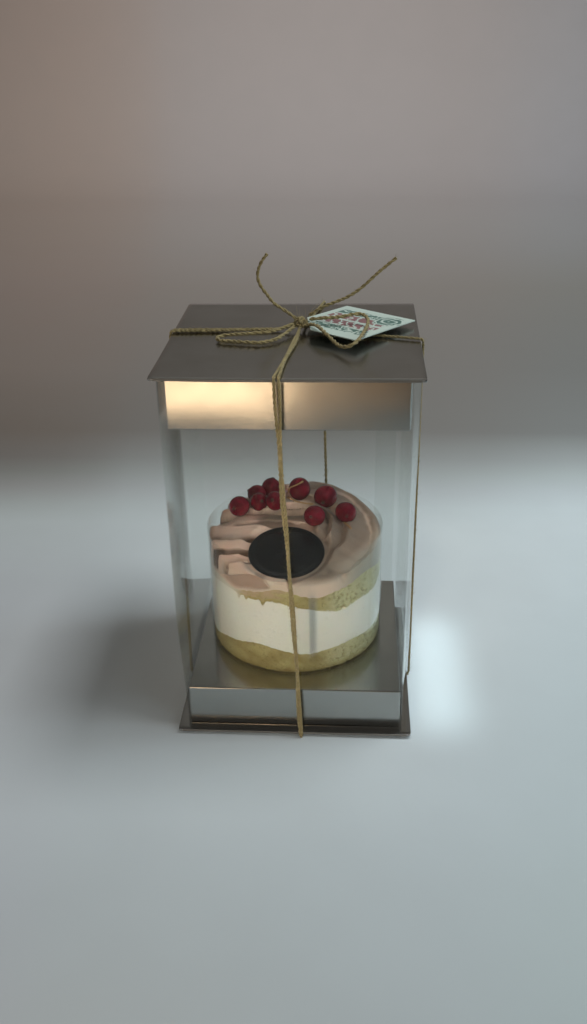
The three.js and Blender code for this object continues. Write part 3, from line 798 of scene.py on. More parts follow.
def foldSleeve():
    half, low, high = sleeve["half"], sleeve["low"], sleeve["high"]
    piece = startBox("film_sleeve", (2 * half, 2 * half, high - low), (0, 0, (low + high) / 2))
    editPiece(piece, "FACE", lambda middle, normal: abs(normal.z) > 0.9, ("delete", {"type": "FACE"}))
    editPiece(piece, "FACE", lambda middle, normal: True, ("subdivide", {"number_cuts": sleeve["cuts"]}))

    def onCrease(a, b):
        return all(abs(abs(p[axis]) - half) < 0.01 for p in (a, b) for axis in (0, 1))

    editPiece(piece, "EDGE", onCrease, ("bevel", {"offset": sleeve["crease"] * mm, "segments": 3}))
    x, y, z = pointsOf(piece).T
    # Painted shade: the front part of the left wall is painted darker
    along = ease(y, -52, -16) * (1 - ease(y, -9, -4))
    up = ease(z, 38, 52) * (1 - 0.5 * ease(-z, -74, -56))
    nameValues(piece, "overlap", (x < 0.3 - half) * along * up)

    def bowed(points):
        x, y, z = points.T
        share = (z - low) / (high - low)
        rise = ease(share, 0, 0.4)
        belly = np.sin(np.pi * np.clip(share, 0, 1))
        ripple = 0.1 * np.sin(0.11 * z + 0.07 * x) * np.cos(0.09 * y - 0.05 * z)
        side = sleeve["bulge"]
        left = ease(-x, half - 6, half - 0.3) * (side["left"] * rise + ripple * belly)
        pushed = side["right"] * ease(z, 9, 34) * (1 + 0.22 * ease(z, 90, 150))
        pushed = pushed * ease(y, -45.2, -33) * (1 - ease(y, 18, 44))
        right = ease(x, half - 0.6, half - 0.01) * (pushed + ripple * belly)
        front = ease(-y, half - 0.6, half - 0.01) * (side["front"] * belly + ripple) * np.cos(x / half * 1.55)
        back = ease(y, half - 0.6, half - 0.01) * (side["back"] * belly + ripple) * np.cos(x / half * 1.55)
        return np.column_stack([x - left + right, y - front + back, z])

    movePoints(piece, bowed)
    modify(piece, "SOLIDIFY", thickness=sleeve["wall"] * mm, offset=-1)
    finishPiece(piece, clearFilm, "clear_film", "sleeve", smoothAngle=12)
    # Glued flap inside the back wall
    wide, thick = sleeve["flap"]
    place = (half - wide / 2 - 2, half - sleeve["wall"] - thick / 2 - 0.05, (low + high) / 2)
    flap = startBox("film_flap", (wide, thick, high - low - 1), place)
    editPiece(flap, "EDGE", lambda a, b: abs(a.z - b.z) > 1, ("bevel", {"offset": 0.1 * mm, "segments": 2}))
    finishPiece(flap, clearFilm, "clear_film")


clearFilm = filmPaint("clear_film", (0.965, 0.97, 0.965, 1), 0.012)
foldSleeve()
print("film sleeve folded")

# The cake, measured from its own middle and from the top of the platform
cake = {"at": (-1.5, 4.5), "radius": 38.4, "core": 27}
seams = {
    "floor": (0.05, []),
    "white": (10.5, [(-160, -4.6, 16), (-111, 2.6, 14), (-80, -0.9, 10), (-48, 0.9, 12), (70, 1.4, 30)]),
    "upperSponge": (33.2, [(-138, 3.6, 26), (-101, 2.2, 12), (-57, -4.3, 17), (-26, -3.4, 13), (85, 1.2, 30),
                            (-126, -2.6, 1.2), (-120, -1.6, 1), (-108, -2.4, 1.4)]),
    "topping": (39.3, [(-129, -1.8, 9), (-98, 3, 10), (-72, -1.6, 8), (-34, 3.2, 15), (60, 1, 30)]),
}


def seamHeight(name, angle):
    height, swells = seams[name]
    z = np.full_like(angle, height)
    for at, rise, wide in swells:
        z += rise * bell(degreesPast(angle, at), 0, wide)
    return z


def settled(name, r, angle, ragged=0.0):
    calm = np.minimum(1, r / cake["radius"]) ** 2
    mean = seamHeight(name, np.arange(24) / 24 * 2 * np.pi).mean()
    crumbly = ragged * (np.sin(23 * angle + 4) * np.cos(37 * angle) + 0.6 * np.sin(71 * angle + 1))
    return between(mean, seamHeight(name, angle) + crumbly, calm)


# A grid rolled up into a closed turned body. The profile lists radius and level, 0 under and 1 over
def rolledBody(name, profile, facets, shape):
    rows = len(profile)
    piece = startPiece(name, "grid", x_subdivisions=facets, y_subdivisions=rows - 1, size=2 * mm)
    profile = np.array(profile, float)

    def rolled(points):
        angle = points[:, 0] * np.pi
        row = (points[:, 1] + 1) / 2 * (rows - 1)
        r = np.interp(row, np.arange(rows), profile[:, 0])
        level = np.interp(row, np.arange(rows), profile[:, 1])
        angle = np.where(points[:, 0] > 0.99999, -np.pi, angle)
        newR, z = shape(r, angle, level)
        return np.column_stack([
            newR * np.cos(angle) + cake["at"][0], newR * np.sin(angle) + cake["at"][1], z + platformTop,
        ])

    movePoints(piece, rolled)
    editPiece(
        piece, "FACE", lambda middle, normal: True,
        ("remove_doubles", {"threshold": 1e-6}), ("normals_make_consistent", {"inside": False}),
    )
    return piece


def noiseAt(points, size, octaves=3):
    return np.array([noise.fractal(Vector(p) / size, 0.7, 2.1, octaves) for p in points])


def spread(start, end, count):
    return [start + (end - start) * i / count for i in range(count + 1)]


sponge = {
    "facets": 620, "rows": 42, "poreDeep": 0.95, "crumbSize": 1.5, "fineSize": 0.62, "inset": 0.12,
    "crumb": (0.575, 0.49, 0.215, 1), "toasted": (0.44, 0.345, 0.128, 1), "pore": (0.30, 0.215, 0.065, 1),
    "creamWhite": (0.74, 0.70, 0.60, 1), "creamTan": (0.60, 0.43, 0.28, 1), "inside": (0.68, 0.70, 0.46, 1),
    "damp": (0.34, 0.27, 0.085, 1), "bright": (0.74, 0.68, 0.42, 1),
}


# Where cream is smeared thinly over the sponge's cut side: 0 bare, 1 white, with the tan smears apart
def smears(angle, z, low, high):
    degrees = np.degrees(angle)
    edge = 2.5 * np.sin(0.9 * z + 1) + 1.6 * np.sin(2.3 * z + 4 + 9 * angle)
    left = ease(-degrees + edge, 122, 132)
    back = ease(degrees + edge, 60, 75) * ease(-degrees, -178, -150)
    tan = ease(-degrees + edge, 91, 97) * (1 - left) * ease((z - low) / (high - low), 0.15, 0.5)
    return np.maximum(left, 0.8 * back), tan


# The cut side is torn open at the right and pressed smooth elsewhere
def crumbly(angle):
    degrees = np.degrees(angle)
    return ease(degrees, -75, -56) * (1 - ease(degrees, 10, 40))


# A flat layer's profile: out along its underside, up its side and back in along its top
def layerProfile(inner, rings, rows):
    flat = [*inner, *spread(cake["core"] + 2, cake["radius"], rings)]
    side = [(cake["radius"], level) for level in spread(0, 1, rows)[1:-1]]
    return [(r, 0) for r in flat] + side + [(r, 1) for r in flat[::-1]]


def bakeSponge(name, low, high, seed, smeared):
    core, radius = cake["core"], cake["radius"]
    profile = layerProfile((0, core * 0.5, core), 8, sponge["rows"])

    def shape(r, angle, level):
        lowZ = settled(low, r, angle)
        highZ = settled(high, r, angle, 0.12) + 0.25
        z = between(lowZ, highZ, level)
        where = np.column_stack([radius * np.cos(angle), radius * np.sin(angle), z]) + seed
        side = r > radius - 0.01
        coarse = noiseAt(where, sponge["crumbSize"], 2)
        fine = noiseAt(where, sponge["fineSize"], 2)
        pores = ease(coarse, 0.12, 0.55) * 0.75 + ease(fine, 0.15, 0.6) * 0.35
        white, tan = smears(angle, z, lowZ, highZ) if smeared else (np.zeros_like(r), np.zeros_like(r))
        covered = np.clip(white + 0.75 * tan * ease(noiseAt(where, 2.4), -0.25, 0.2), 0, 1)
        torn = between(0.5, 1.25, crumbly(angle))
        deep = (sponge["poreDeep"] * torn * pores + sponge["inset"]) * (1 - covered)
        tuck = 0.7 * (1 - ease(z - lowZ, 0, 1.4)) if low == "floor" else 0
        newR = np.where(side, radius - deep - tuck + 0.04 * covered, np.minimum(r, radius - 0.9))
        return newR, z

    return rolledBody(name, profile, sponge["facets"], shape)


def spongePaint(name):
    paint = Paint(name, Roughness=0.9, Subsurface_Weight=0.12, Subsurface_Radius=(0.0012, 0.0008, 0.0004))
    where = paint.place()
    pores = paint.attribute("pores")
    crumbs = paint.grain(where, 2.6, 4, 0.65)
    broad = paint.grain(where, 0.12, 3)
    holes = paint.eased(paint.cells(where, 1.5), 0.05, 0.3, 1, 0)
    crumb = paint.mixed(paint.eased(broad, 0.35, 0.68), sponge["crumb"], sponge["toasted"])
    torn = paint.attribute("torn")
    # Painted shade in the pores and small holes, deeper on the torn side, in the pore shade colour
    colour = paint.mixed(paint.maths("ADD", pores * 0.45, holes * 0.15, clamp=True), crumb, sponge["pore"])
    colour = paint.mixed(torn * 0.6, colour, sponge["inside"])
    colour = paint.mixed(torn * pores * 0.45, colour, sponge["pore"])
    colour = paint.mixed(paint.eased(crumbs, 0.5, 0.75) * (torn * 0.5 + 0.2), colour, sponge["bright"])
    # Darker at the bottom: partly damp crumb, partly painted contact shade
    colour = paint.mixed(paint.attribute("damp"), colour, sponge["damp"])
    thin = paint.eased(paint.grain(where, 0.45, 4, 0.7), 0.4, 0.56)
    colour = paint.mixed(paint.attribute("tan") * (thin * 0.6 + 0.35), colour, sponge["creamTan"])
    colour = paint.mixed(paint.attribute("white"), colour, sponge["creamWhite"])
    bump = paint.bumped(crumbs * 0.6 - holes * 0.5, 0.5)
    return paint.finish(Base_Color=colour, Normal=bump)


def markPoints(piece):
    points = pointsOf(piece)
    x, y = points[:, 0] - cake["at"][0], points[:, 1] - cake["at"][1]
    angle, z = np.arctan2(y, x), points[:, 2] - platformTop
    return x, y, angle, z


def makeSponges():
    for name, node, low, high, seed, smeared in (
        ("sponge_lower", "sponge_bottom", "floor", "white", 11, False),
        ("sponge_upper", "sponge_top", "upperSponge", "topping", 47, True),
    ):
        piece = bakeSponge(name, low, high, seed, smeared)
        x, y, angle, z = markPoints(piece)
        r = np.hypot(x, y)
        side = ease(r, 35, 36.5)
        nameValues(piece, "pores", ease(cake["radius"] - 0.3 - r, 0, 0.8) * side)
        lowZ, highZ = settled(low, r, angle), settled(high, r, angle)
        white, tan = smears(angle, z, lowZ, highZ) if smeared else (0 * z, 0 * z)
        nameValues(piece, "white", white * side)
        nameValues(piece, "tan", tan * side)
        nameValues(piece, "torn", crumbly(angle) * side)
        # Darker towards the bottom of the lower sponge: partly damp crumb, partly painted contact shade
        nameValues(piece, "damp", 0.75 * (1 - ease(z, 0.2, 5)) * (low == "floor"))
        finishPiece(piece, spongePaint(name), "sponge", node, smoothAngle=80)
        print(f"{name} baked")


makeSponges()

filling = {
    "facets": 420, "rows": 46,
    "cream": (0.90, 0.88, 0.80, 1), "shade": (0.84, 0.805, 0.695, 1),
}


def whitePaint():
    paint = Paint("white_cream", Roughness=0.42, Subsurface_Weight=0.35, Subsurface_Radius=(0.004, 0.003, 0.002))
    where = paint.place()
    broad = paint.grain(where, 0.09, 4)
    smooth = paint.grain(where, 0.5, 3)
    colour = paint.mixed(paint.eased(broad, 0.35, 0.75) * 0.6, filling["cream"], filling["shade"])
    gloss = paint.eased(smooth, 0.3, 0.7, 0.34, 0.52)
    return paint.finish(Base_Color=colour, Roughness=gloss, Normal=paint.bumped(smooth, 0.12))


def spreadWhite():
    radius = cake["radius"]
    profile = layerProfile((0, cake["core"]), 6, filling["rows"])

    def shape(r, angle, level):
        lowZ = settled("white", r, angle, 0.16) + 0.05
        highZ = settled("upperSponge", r, angle, 0.1) + 0.3
        z = between(lowZ, highZ, level)
        where = np.column_stack([radius * np.cos(angle), radius * np.sin(angle), z])
        bubbles = ease(noiseAt(where + 80, 1.1, 2), 0.42, 0.75)
        sway = noiseAt(where * (1, 1, 2), 9, 2)
        edge = ease(level, 0, 0.03) * ease(1 - level, 0, 0.03)
        side = radius - 0.3 * bubbles * edge - 0.1 + 0.06 * sway - 0.15 * (1 - edge)
        return np.where(r > radius - 0.01, side, r - 0.2), z

    piece = rolledBody("cream_layer", profile, filling["facets"], shape)
    finishPiece(piece, whitePaint(), "white_cream", "cream_white", smoothAngle=80)


spreadWhite()
print("white cream spread")

# The piped cream on top: folds side by side on the left, turning round the middle on the right
topping = {
    "rimHeight": 49.3, "rimTilt": 0.07, "dome": 5.2, "domePower": 1.7, "heap": (3, 75, 30),
    "lipsLeft": (-7, 5.2, 17.4, 26.3, 29.7, 47), "lipsBack": (-9.4, 7, 13.5, 27.7, 33.4, 47),
    "lipsRight": (-7, 8, 14.5, 20.5, 33.2, 46),
    "foldDeep": (1.6, 2.4, 3.3, 2.4, 2.4, 2), "lean": 0.18, "swirl": 0.2, "lipWide": (0.085, 0.26),
    "shoulder": (2.6, 1.5), "recess": 1.6, "creaseWide": 0.6, "shadeWide": (1.35, 3.6, 1.9, 1.3, 1.35),
    "hollowFrom": (0.6, 0.62, 0.54, 0.8, 0.9), "hollowTo": (0.64, 0.97, 0.6, 0.95, 1),
    "hollowDeep": (1.1, 0, 0.9, 0.2, 0), "hollowShade": (0.5, 0.4, 0.72, 0.2, 0),
    "edgeRound": 2.2, "facets": 560, "rings": 104, "rows": 22,
    "cream": (0.76, 0.535, 0.43, 1), "pale": (0.74, 0.60, 0.49, 1), "deep": (0.115, 0.058, 0.03, 1),
    "brown": (0.2, 0.151, 0.111, 1), "milk": (0.41, 0.36, 0.29, 1), "mauve": (0.43, 0.30, 0.235, 1),
}
disc = {"at": (-4.1, -15.2, 71.7), "radius": 16.4, "thick": 2.2, "tilt": 12.2, "seat": 0.8, "seatWide": 4.5}
currants = [
    ((-27.2, 14.4, 56.7), 4.7, (-0.4, -0.9, 0.2)), ((-20.4, 26.9, 56.6), 4.4, (-0.9, 0.1, 0.4)),
    ((-14.2, 33.6, 56.9), 4.6, (0.2, 0.3, 1)), ((-18.6, 18.2, 57.1), 4.2, (0.4, -0.8, 0.5)),
    ((-10.9, 14.6, 59.5), 4.3, (-0.2, -0.8, 0.5)), ((-0.6, 27.6, 59.3), 5.2, (0.5, 0.8, 0.3)),
    ((11.7, 20.9, 58.9), 5.3, (-0.2, -1, -0.1)), ((7.3, 3.5, 57.9), 4.7, (-0.3, -0.9, 0.35)),
    ((21.1, 9.7, 56.6), 4.75, (0.1, -1, 0.1)),
]


def drift(u, v, a, b, c, d):
    return np.sin(a * u + b * v + c) * np.cos(0.7 * b * u - 0.9 * a * v + d)


def swirlPhase(u, v):
    wander = 1.1 * drift(u, v, 0.11, 0.07, 0.6, 1.9) + 0.5 * drift(u, v, 0.27, 0.21, 2, 0.4)
    wander += 0.22 * drift(u, v, 0.83, 0.55, 1, 2.2) + 0.06 * drift(u, v, 1.9, 1.1, 0.2, 3)
    forward = np.clip(-0.17 - np.arctan2(v, u), 0, 1.4)
    count = np.arange(len(topping["lipsLeft"]))
    across = v + topping["lean"] * u
    front, back = (np.interp(np.abs(across) + wander, topping[lips], count) for lips in ("lipsLeft", "lipsBack"))
    left = np.where(across < 0, front, back)
    right = np.interp(np.hypot(u, v) * (1 - topping["swirl"] * forward) + wander, topping["lipsRight"], count)
    return between(left, right, ease(u, -9, 9))


# The sunken lower part of each fold on the left: how much of it is there, its fold's number, and the millimetres
# to the next fold
def hollowed(phase, u, v):
    i = np.minimum(np.floor(phase), 4).astype(int)
    t = phase - i
    start, end = (np.array(topping[key])[i] for key in ("hollowFrom", "hollowTo"))
    across = v + topping["lean"] * u
    front = np.where(i == 0, ease(-across, 0.1, 0.5), 1)
    left = 1 - ease(u, -4, 10)
    return ease(t, start, end) * front * left, i, (1 - t) * np.diff(topping["lipsLeft"])[i]


def foldHeight(phase, u, v):
    deep = np.array(topping["foldDeep"])
    sunk, i, ahead = hollowed(phase, u, v)
    t = phase - i
    rightness = ease(u, -4, 10)
    wide = between(*topping["lipWide"], rightness)
    shoulder = between(*topping["shoulder"], rightness)
    crease = between(deep[i], deep[i + 1], t) * between(1, 0.45, rightness)
    curl = 0.4 * bell(t, wide * 1.2, 0.07)
    gap = bell(ahead, 0, topping["creaseWide"]) + bell(t, 0, 0.02)
    rolled = deep[i] * ease(t, 0, wide) * (1 - np.clip(t, 0, 1) ** shoulder) - 0.45 * crease + curl
    return rolled - 1.1 * gap * (1 - rightness) - sunk * np.array(topping["hollowDeep"])[i]


def toppingHeight(u, v):
    out = np.minimum(1, np.hypot(u, v) / cake["radius"])
    rise, at, wide = topping["heap"]
    heap = rise * bell(degreesPast(np.arctan2(v, u), at), 0, wide)
    rim = topping["rimHeight"] + topping["rimTilt"] * v + heap * out**2
    dome = topping["dome"] * (1 - out ** topping["domePower"])
    phase = swirlPhase(u, v)
    t = phase - np.floor(phase)
    combed = 0.016 * np.sin(phase * 34 + 2 * drift(u, v, 0.3, 0.2, 1, 2)) * ease(t, 0.1, 0.4)
    height = rim + dome + foldHeight(phase, u, v) + combed + 0.16 * drift(u, v, 0.4, 0.5, 3, 1)
    across = v + topping["lean"] * u
    # The rim dips at the left end of the middle fold
    height -= 3.2 * ease(-u, 25, 33) * ease(across, -5.4, -4) * (1 - ease(across, 7, 10))
    return seatCurrants(seatDisc(height, u, v), u, v)


# The cream gives way under the disc and the currants
def seatDisc(height, u, v):
    x = u + cake["at"][0] - disc["at"][0]
    y = v + cake["at"][1] - disc["at"][1]
    tilt = math.radians(disc["tilt"])
    face = disc["at"][2] - platformTop + math.tan(tilt) * y
    past = np.hypot(x, y / math.cos(tilt)) - disc["radius"]
    free = ease(past, 0.8, disc["seatWide"])
    return between(np.minimum(height, face - disc["seat"]), height, free)


def seatCurrants(height, u, v):
    for (cx, cy, cz), r, _ in currants:
        away = np.hypot(u + cake["at"][0] - cx, v + cake["at"][1] - cy)
        inner = r - 0.12
        bowl = cz - np.sqrt(np.maximum(inner**2 - away**2, 0))
        height = np.where(away < inner, np.minimum(height, bowl), height)
    return height


def creamPaint():
    paint = Paint("pink_cream", Roughness=0.45, Subsurface_Weight=0.2, Subsurface_Radius=(0.0022, 0.0013, 0.0009))
    where = paint.place()
    broad = paint.grain(where, 0.07, 3)
    airy = paint.grain(where, 1.7, 3, 0.6)
    colour = paint.mixed(paint.eased(broad, 0.35, 0.7) * 0.5, topping["cream"], topping["pale"])
    # The tints: paler tone with a painted highlight on a lip, brown with painted shade, milk, and painted shade on
    # the side under the front fold
    for tint in ("pale", "brown", "milk", "mauve"):
        colour = paint.mixed(paint.attribute(tint), colour, topping[tint])
    # Painted shade in the folds and hollows, in the deep colour
    colour = paint.mixed(paint.attribute("fold"), colour, topping["deep"])
    gloss = paint.eased(airy, 0.3, 0.7, 0.38, 0.56)
    return paint.finish(Base_Color=colour, Roughness=gloss, Normal=paint.bumped(airy, 0.1))


# The fold at the front left overhangs the cream's side
def underFold(angle, high):
    degrees = np.degrees(angle) + 1.5 * np.sin(high)
    edge = np.minimum(45.3 + 0.22 * (degrees + 124), 48.9)
    along = ease(degrees, -147, -139) * (1 - ease(degrees, -108, -103))
    return along * (1 - ease(high, edge - 0.7, edge + 0.4)) * ease(high - seamHeight("topping", angle), 0.7, 1.6)


def pipeTopping():
    radius, turned = cake["radius"], topping["edgeRound"]
    profile = [(0, 0), (cake["core"], 0)] + [(r, 0) for r in spread(cake["core"] + 2, radius, 6)]
    profile += [(radius, level) for level in spread(0, 0.97, topping["rows"])[1:]]
    profile += [(r, 1) for r in spread(radius, 0.5, topping["rings"])] + [(0, 1)]

    def shape(r, angle, level):
        under = settled("topping", r, angle, 0.2) + 0.02
        past = np.clip(1 - (radius - r) / turned, 0, 1)
        roundOff = turned * 0.6 * (1 - np.sqrt(1 - past**2))
        over = toppingHeight(r * np.cos(angle), r * np.sin(angle)) - roundOff
        z = between(under, over, level)
        phase = swirlPhase(radius * np.cos(angle), radius * np.sin(angle))
        t = phase - np.floor(phase)
        notch = 1.5 * bell(np.minimum(t, 1 - t), 0, 0.05) * ease(level, 0.3, 0.9)
        inward = notch + 0.35 * ease(level, 0.6, 1) ** 2 + topping["recess"] * underFold(angle, z)
        return np.where(r > radius - 0.01, radius - inward, r), z

    piece = rolledBody("cream_folds", profile, topping["facets"], shape)
    tintTopping(piece)
    finishPiece(piece, creamPaint(), "pink_cream", "cream_swirl", smoothAngle=80)


# Marks what the cream's paint tints: painted shade in the folds and hollows, the paler low front side and a painted
# highlight on a lip, the milky rim, the brown right with painted shade, and painted shade on the mauve side under the
# front fold
def tintTopping(piece):
    u, v, angle, high = markPoints(piece)
    phase = swirlPhase(u, v)
    t = phase - np.floor(phase)
    r = np.hypot(u, v)
    rightness = ease(u, -4, 10)
    sunk, i, ahead = hollowed(phase, u, v)
    patchy = 0.8 + 0.2 * drift(u, v, 0.19, 0.05, 2.4, 1.2)
    # Painted shade in the creases ahead of each lip and in the hollows
    shaded = bell(ahead, 0, np.array(topping["shadeWide"])[i]) * patchy
    crease = np.maximum(shaded, bell(t, 0, 0.03))
    past = t * np.diff(topping["lipsLeft"])[i]
    crease = np.maximum(crease, 0.75 * (i == 2) * bell(past, 0.2, 0.8) * ease(-u, 21, 27))
    sunkShade = sunk * np.array(topping["hollowShade"])[i] * np.where(i == 2, 1 + 0.7 * ease(-u, 28.5, 31), 1)
    free = ease(high + 4 * ease(-u, 22, 28), 44, 46.5)
    behind = between(1, 0.5, ease(v + topping["lean"] * u, 0, 4))
    dark = 0.9 * crease * between(1, 0.3, rightness) + sunkShade
    nameValues(piece, "fold", np.clip(dark * behind, 0, 1) * free)
    side = ease(r, 35.5, 38)
    # Paler low on the front side, and a painted highlight along the lip of the fourth fold on the right
    lip = bell(phase, 4.09, 0.05) * ease(u, 8, 20)
    nameValues(piece, "pale", np.maximum(0.8 * side * ease(-high, -50, -44) * ease(-v, 5, 25), 0.8 * lip))
    milk = ease(r, 31, 37) * ease(u, 14, 30) * ease(-v, -6, 14)
    nameValues(piece, "milk", milk)
    # Darker brown on the right and on the dome by the disc: partly the cream's cocoa tone, partly painted shade where
    # the lid keeps the light off
    dome = bell(v, 4, 6) * ease(u, -21, -13)
    brown = np.maximum(0.8 * ease(u, -7, 13), dome * (1 - ease(u, 4, 12)))
    nameValues(piece, "brown", brown * (1 - milk) * ease(high, 43, 47) * (1 - lip))
    # Painted shade on the cream's side under the overhanging front fold, in a mauve tint
    nameValues(piece, "mauve", 0.9 * underFold(angle, high) * ease(r, 34, 36))


pipeTopping()
print("pink cream piped")


# A plain chocolate disc with a raised rim and a small rosette of lozenges
medal = {
    "petals": [("petal", 8, 3.6, 4.6, 1.5), ("bud", 8, 7.4, 1.6, 1.2), ("dot", 28, 12.2, 0.8, 0.8)], "proud": 0.36,
    "dark": (0.010, 0.0085, 0.008, 1), "bloom": (0.019, 0.015, 0.013, 1),
}


# Low lozenges in a ring on the disc
def addPetals(piece, name, count, reach, long, wide):
    petals = []
    for i in range(count):
        turn = 2 * math.pi * (i + 0.5) / count
        proud = medal["proud"] * mm
        petal = startPiece(f"{name}_{i}", "cone", vertices=8, radius1=mm, radius2=0.35 * mm, depth=proud)
        around = np.array(Matrix.Rotation(turn, 3, "Z"))
        movePoints(petal, lambda points: (points * (long / 2, wide / 2, 1) + (reach, 0, -0.1)) @ around.T)
        petals.append(petal)
    activate(piece)
    for petal in petals:
        petal.select_set(True)
    bpy.ops.object.join()


def mouldDisc():
    radius, thick = disc["radius"], disc["thick"]
    under = (0, 0, -thick / 2 * mm)
    size = {"radius": radius * mm, "depth": thick * mm}
    piece = startPiece("chocolate_medal", "cylinder", vertices=160, location=under, **size)
    editPiece(piece, "EDGE", lambda a, b: abs(a.z - b.z) < 0.01, ("bevel", {"offset": 0.45 * mm, "segments": 4}))
    editPiece(
        piece, "FACE", lambda middle, normal: normal.z > 0.999,
        ("inset", {"thickness": 0.5 * mm}),
        ("inset", {"thickness": 0.25 * mm, "depth": -0.16 * mm}),
        ("inset", {"thickness": 1.4 * mm}),
        ("inset", {"thickness": 0.12 * mm, "depth": -0.06 * mm}),
        ("inset", {"thickness": 0.25 * mm}),
        ("inset", {"thickness": 0.12 * mm, "depth": 0.06 * mm}),
        ("poke", {}),
    )
    for name, count, reach, long, wide in medal["petals"]:
        addPetals(piece, name, count, reach, long, wide)
    tilt = np.array(Matrix.Rotation(math.radians(disc["tilt"]), 3, "X"))
    movePoints(piece, lambda points: points @ tilt.T + np.array(disc["at"]))
    paint = Paint("chocolate", Roughness=0.36, Coat_Weight=0.15, Coat_Roughness=0.25)
    where = paint.place()
    bloom = paint.grain(where, 0.22, 4, 0.65)
    colour = paint.mixed(paint.eased(bloom, 0.4, 0.75) * 0.6, medal["dark"], medal["bloom"])
    gloss = paint.eased(bloom, 0.3, 0.75, 0.3, 0.48)
    paint.finish(Base_Color=colour, Roughness=gloss, Normal=paint.bumped(paint.grain(where, 1.6, 3), 0.03))
    finishPiece(piece, paint.material, "chocolate", "chocolate_disc", smoothAngle=50)


mouldDisc()
print("chocolate disc moulded")

berry = {
    "segments": 40, "rings": 26, "skin": (0.11, 0.005, 0.013, 1), "bright": (0.20, 0.009, 0.022, 1),
    "vein": (0.5, 0.05, 0.05, 1), "tip": (0.055, 0.028, 0.014, 1),
}


def berryPaint():
    paint = Paint(
        "currant_skin", Roughness=0.16, Subsurface_Weight=0.55, Subsurface_Radius=(0.004, 0.0006, 0.0006),
        Coat_Weight=0.5, Coat_Roughness=0.05, IOR=1.38,
    )
    where = paint.place()
    patches = paint.grain(where, 0.35, 3)
    veins = paint.attribute("vein")
    colour = paint.mixed(paint.eased(patches, 0.35, 0.7), berry["skin"], berry["bright"])
    colour = paint.mixed(veins * 0.2, colour, berry["vein"])
    colour = paint.mixed(paint.attribute("tip"), colour, berry["tip"])
    gloss = paint.attribute("tip") * 0.6 + 0.14
    return paint.finish(Base_Color=colour, Roughness=gloss, Normal=paint.bumped(paint.grain(where, 1.2, 2), 0.02))


def growBerries():
    skin = berryPaint()
    for i, ((x, y, z), r, tip) in enumerate(currants, 1):
        fine = {"segments": berry["segments"], "ring_count": berry["rings"]}
        piece = startPiece(f"currant_{i}", "uv_sphere", radius=mm, **fine)
        points = pointsOf(piece)
        turn = np.arctan2(points[:, 1], points[:, 0])
        high = points[:, 2]
        squash = 1 + 0.025 * np.sin(turn * 2 + i) + 0.015 * np.sin(3 * high + i)
        dimple = 0.07 * bell(high, -1, 0.03) - 0.05 * bell(high, 1, 0.02)
        flower = ease(high, 0.985, 0.998)
        ragged = 0.16 * flower * (0.7 + 0.5 * np.sin(turn * 5 + i))
        shaped = points * (squash + dimple + ragged)[:, None]
        pole = Vector(tip).normalized()
        turned = np.array(Vector((0, 0, 1)).rotation_difference(pole).to_matrix())
        movePoints(piece, lambda _: shaped * r @ turned.T + np.array((x, y, z + platformTop)))
        nameValues(piece, "tip", flower)
        nameValues(piece, "vein", np.clip(np.cos(turn * 6 + i), 0, 1) ** 24 * (1 - high**2))
        finishPiece(piece, skin, "redcurrant", f"redcurrant_{i}", smoothAngle=70)


growBerries()

stalks = {
    "routes": [
        [(-5.4, 22.4, 60.2), (-4.6, 21.4, 62.8), (-1.6, 21.6, 64.2), (1.4, 23.4, 65.2)],
        [(-5.2, 15.6, 60.9), (-1, 13.6, 59.8), (3.4, 12.4, 59.5), (6.2, 13.2, 58.8)],
        [(20.4, 3.4, 54.9), (21.8, 0.9, 55.1), (23.4, -1.7, 54.6)],
    ],
    "thick": 0.34, "brown": (0.30, 0.15, 0.05, 1), "straw": (0.50, 0.33, 0.16, 1),
}


def growStalks():
    paint = Paint("stalk", Roughness=0.55)
    where = paint.place()
    colour = paint.mixed(paint.grain(where, 0.9, 3), stalks["brown"], stalks["straw"])
    paint.finish(Base_Color=colour, Normal=paint.bumped(paint.grain(where, 3, 2), 0.08))
    for i, route in enumerate(stalks["routes"], 1):
        line = smoothRoute([(x, y, z + platformTop) for x, y, z in route], 0.35)
        share = np.linspace(0, 1, len(line))
        thick = stalks["thick"] + 0.1 * bell(share, 0.05, 0.08) + 0.12 * bell(share, 0.95, 0.06)
        piece = joinShells(f"stalk_{i}", [tube(line, thick, 8)])
        finishPiece(piece, paint.material, "stalk", f"currant_stalk_{i}", smoothAngle=70)


growStalks()
print("redcurrants and stalks placed")

collar = {
    "inner": 38.72, "wall": 0.3, "low": 21.5, "high": 75.5, "facets": 360, "rows": 12,
    "overlap": (-78.2, -72.4),
}


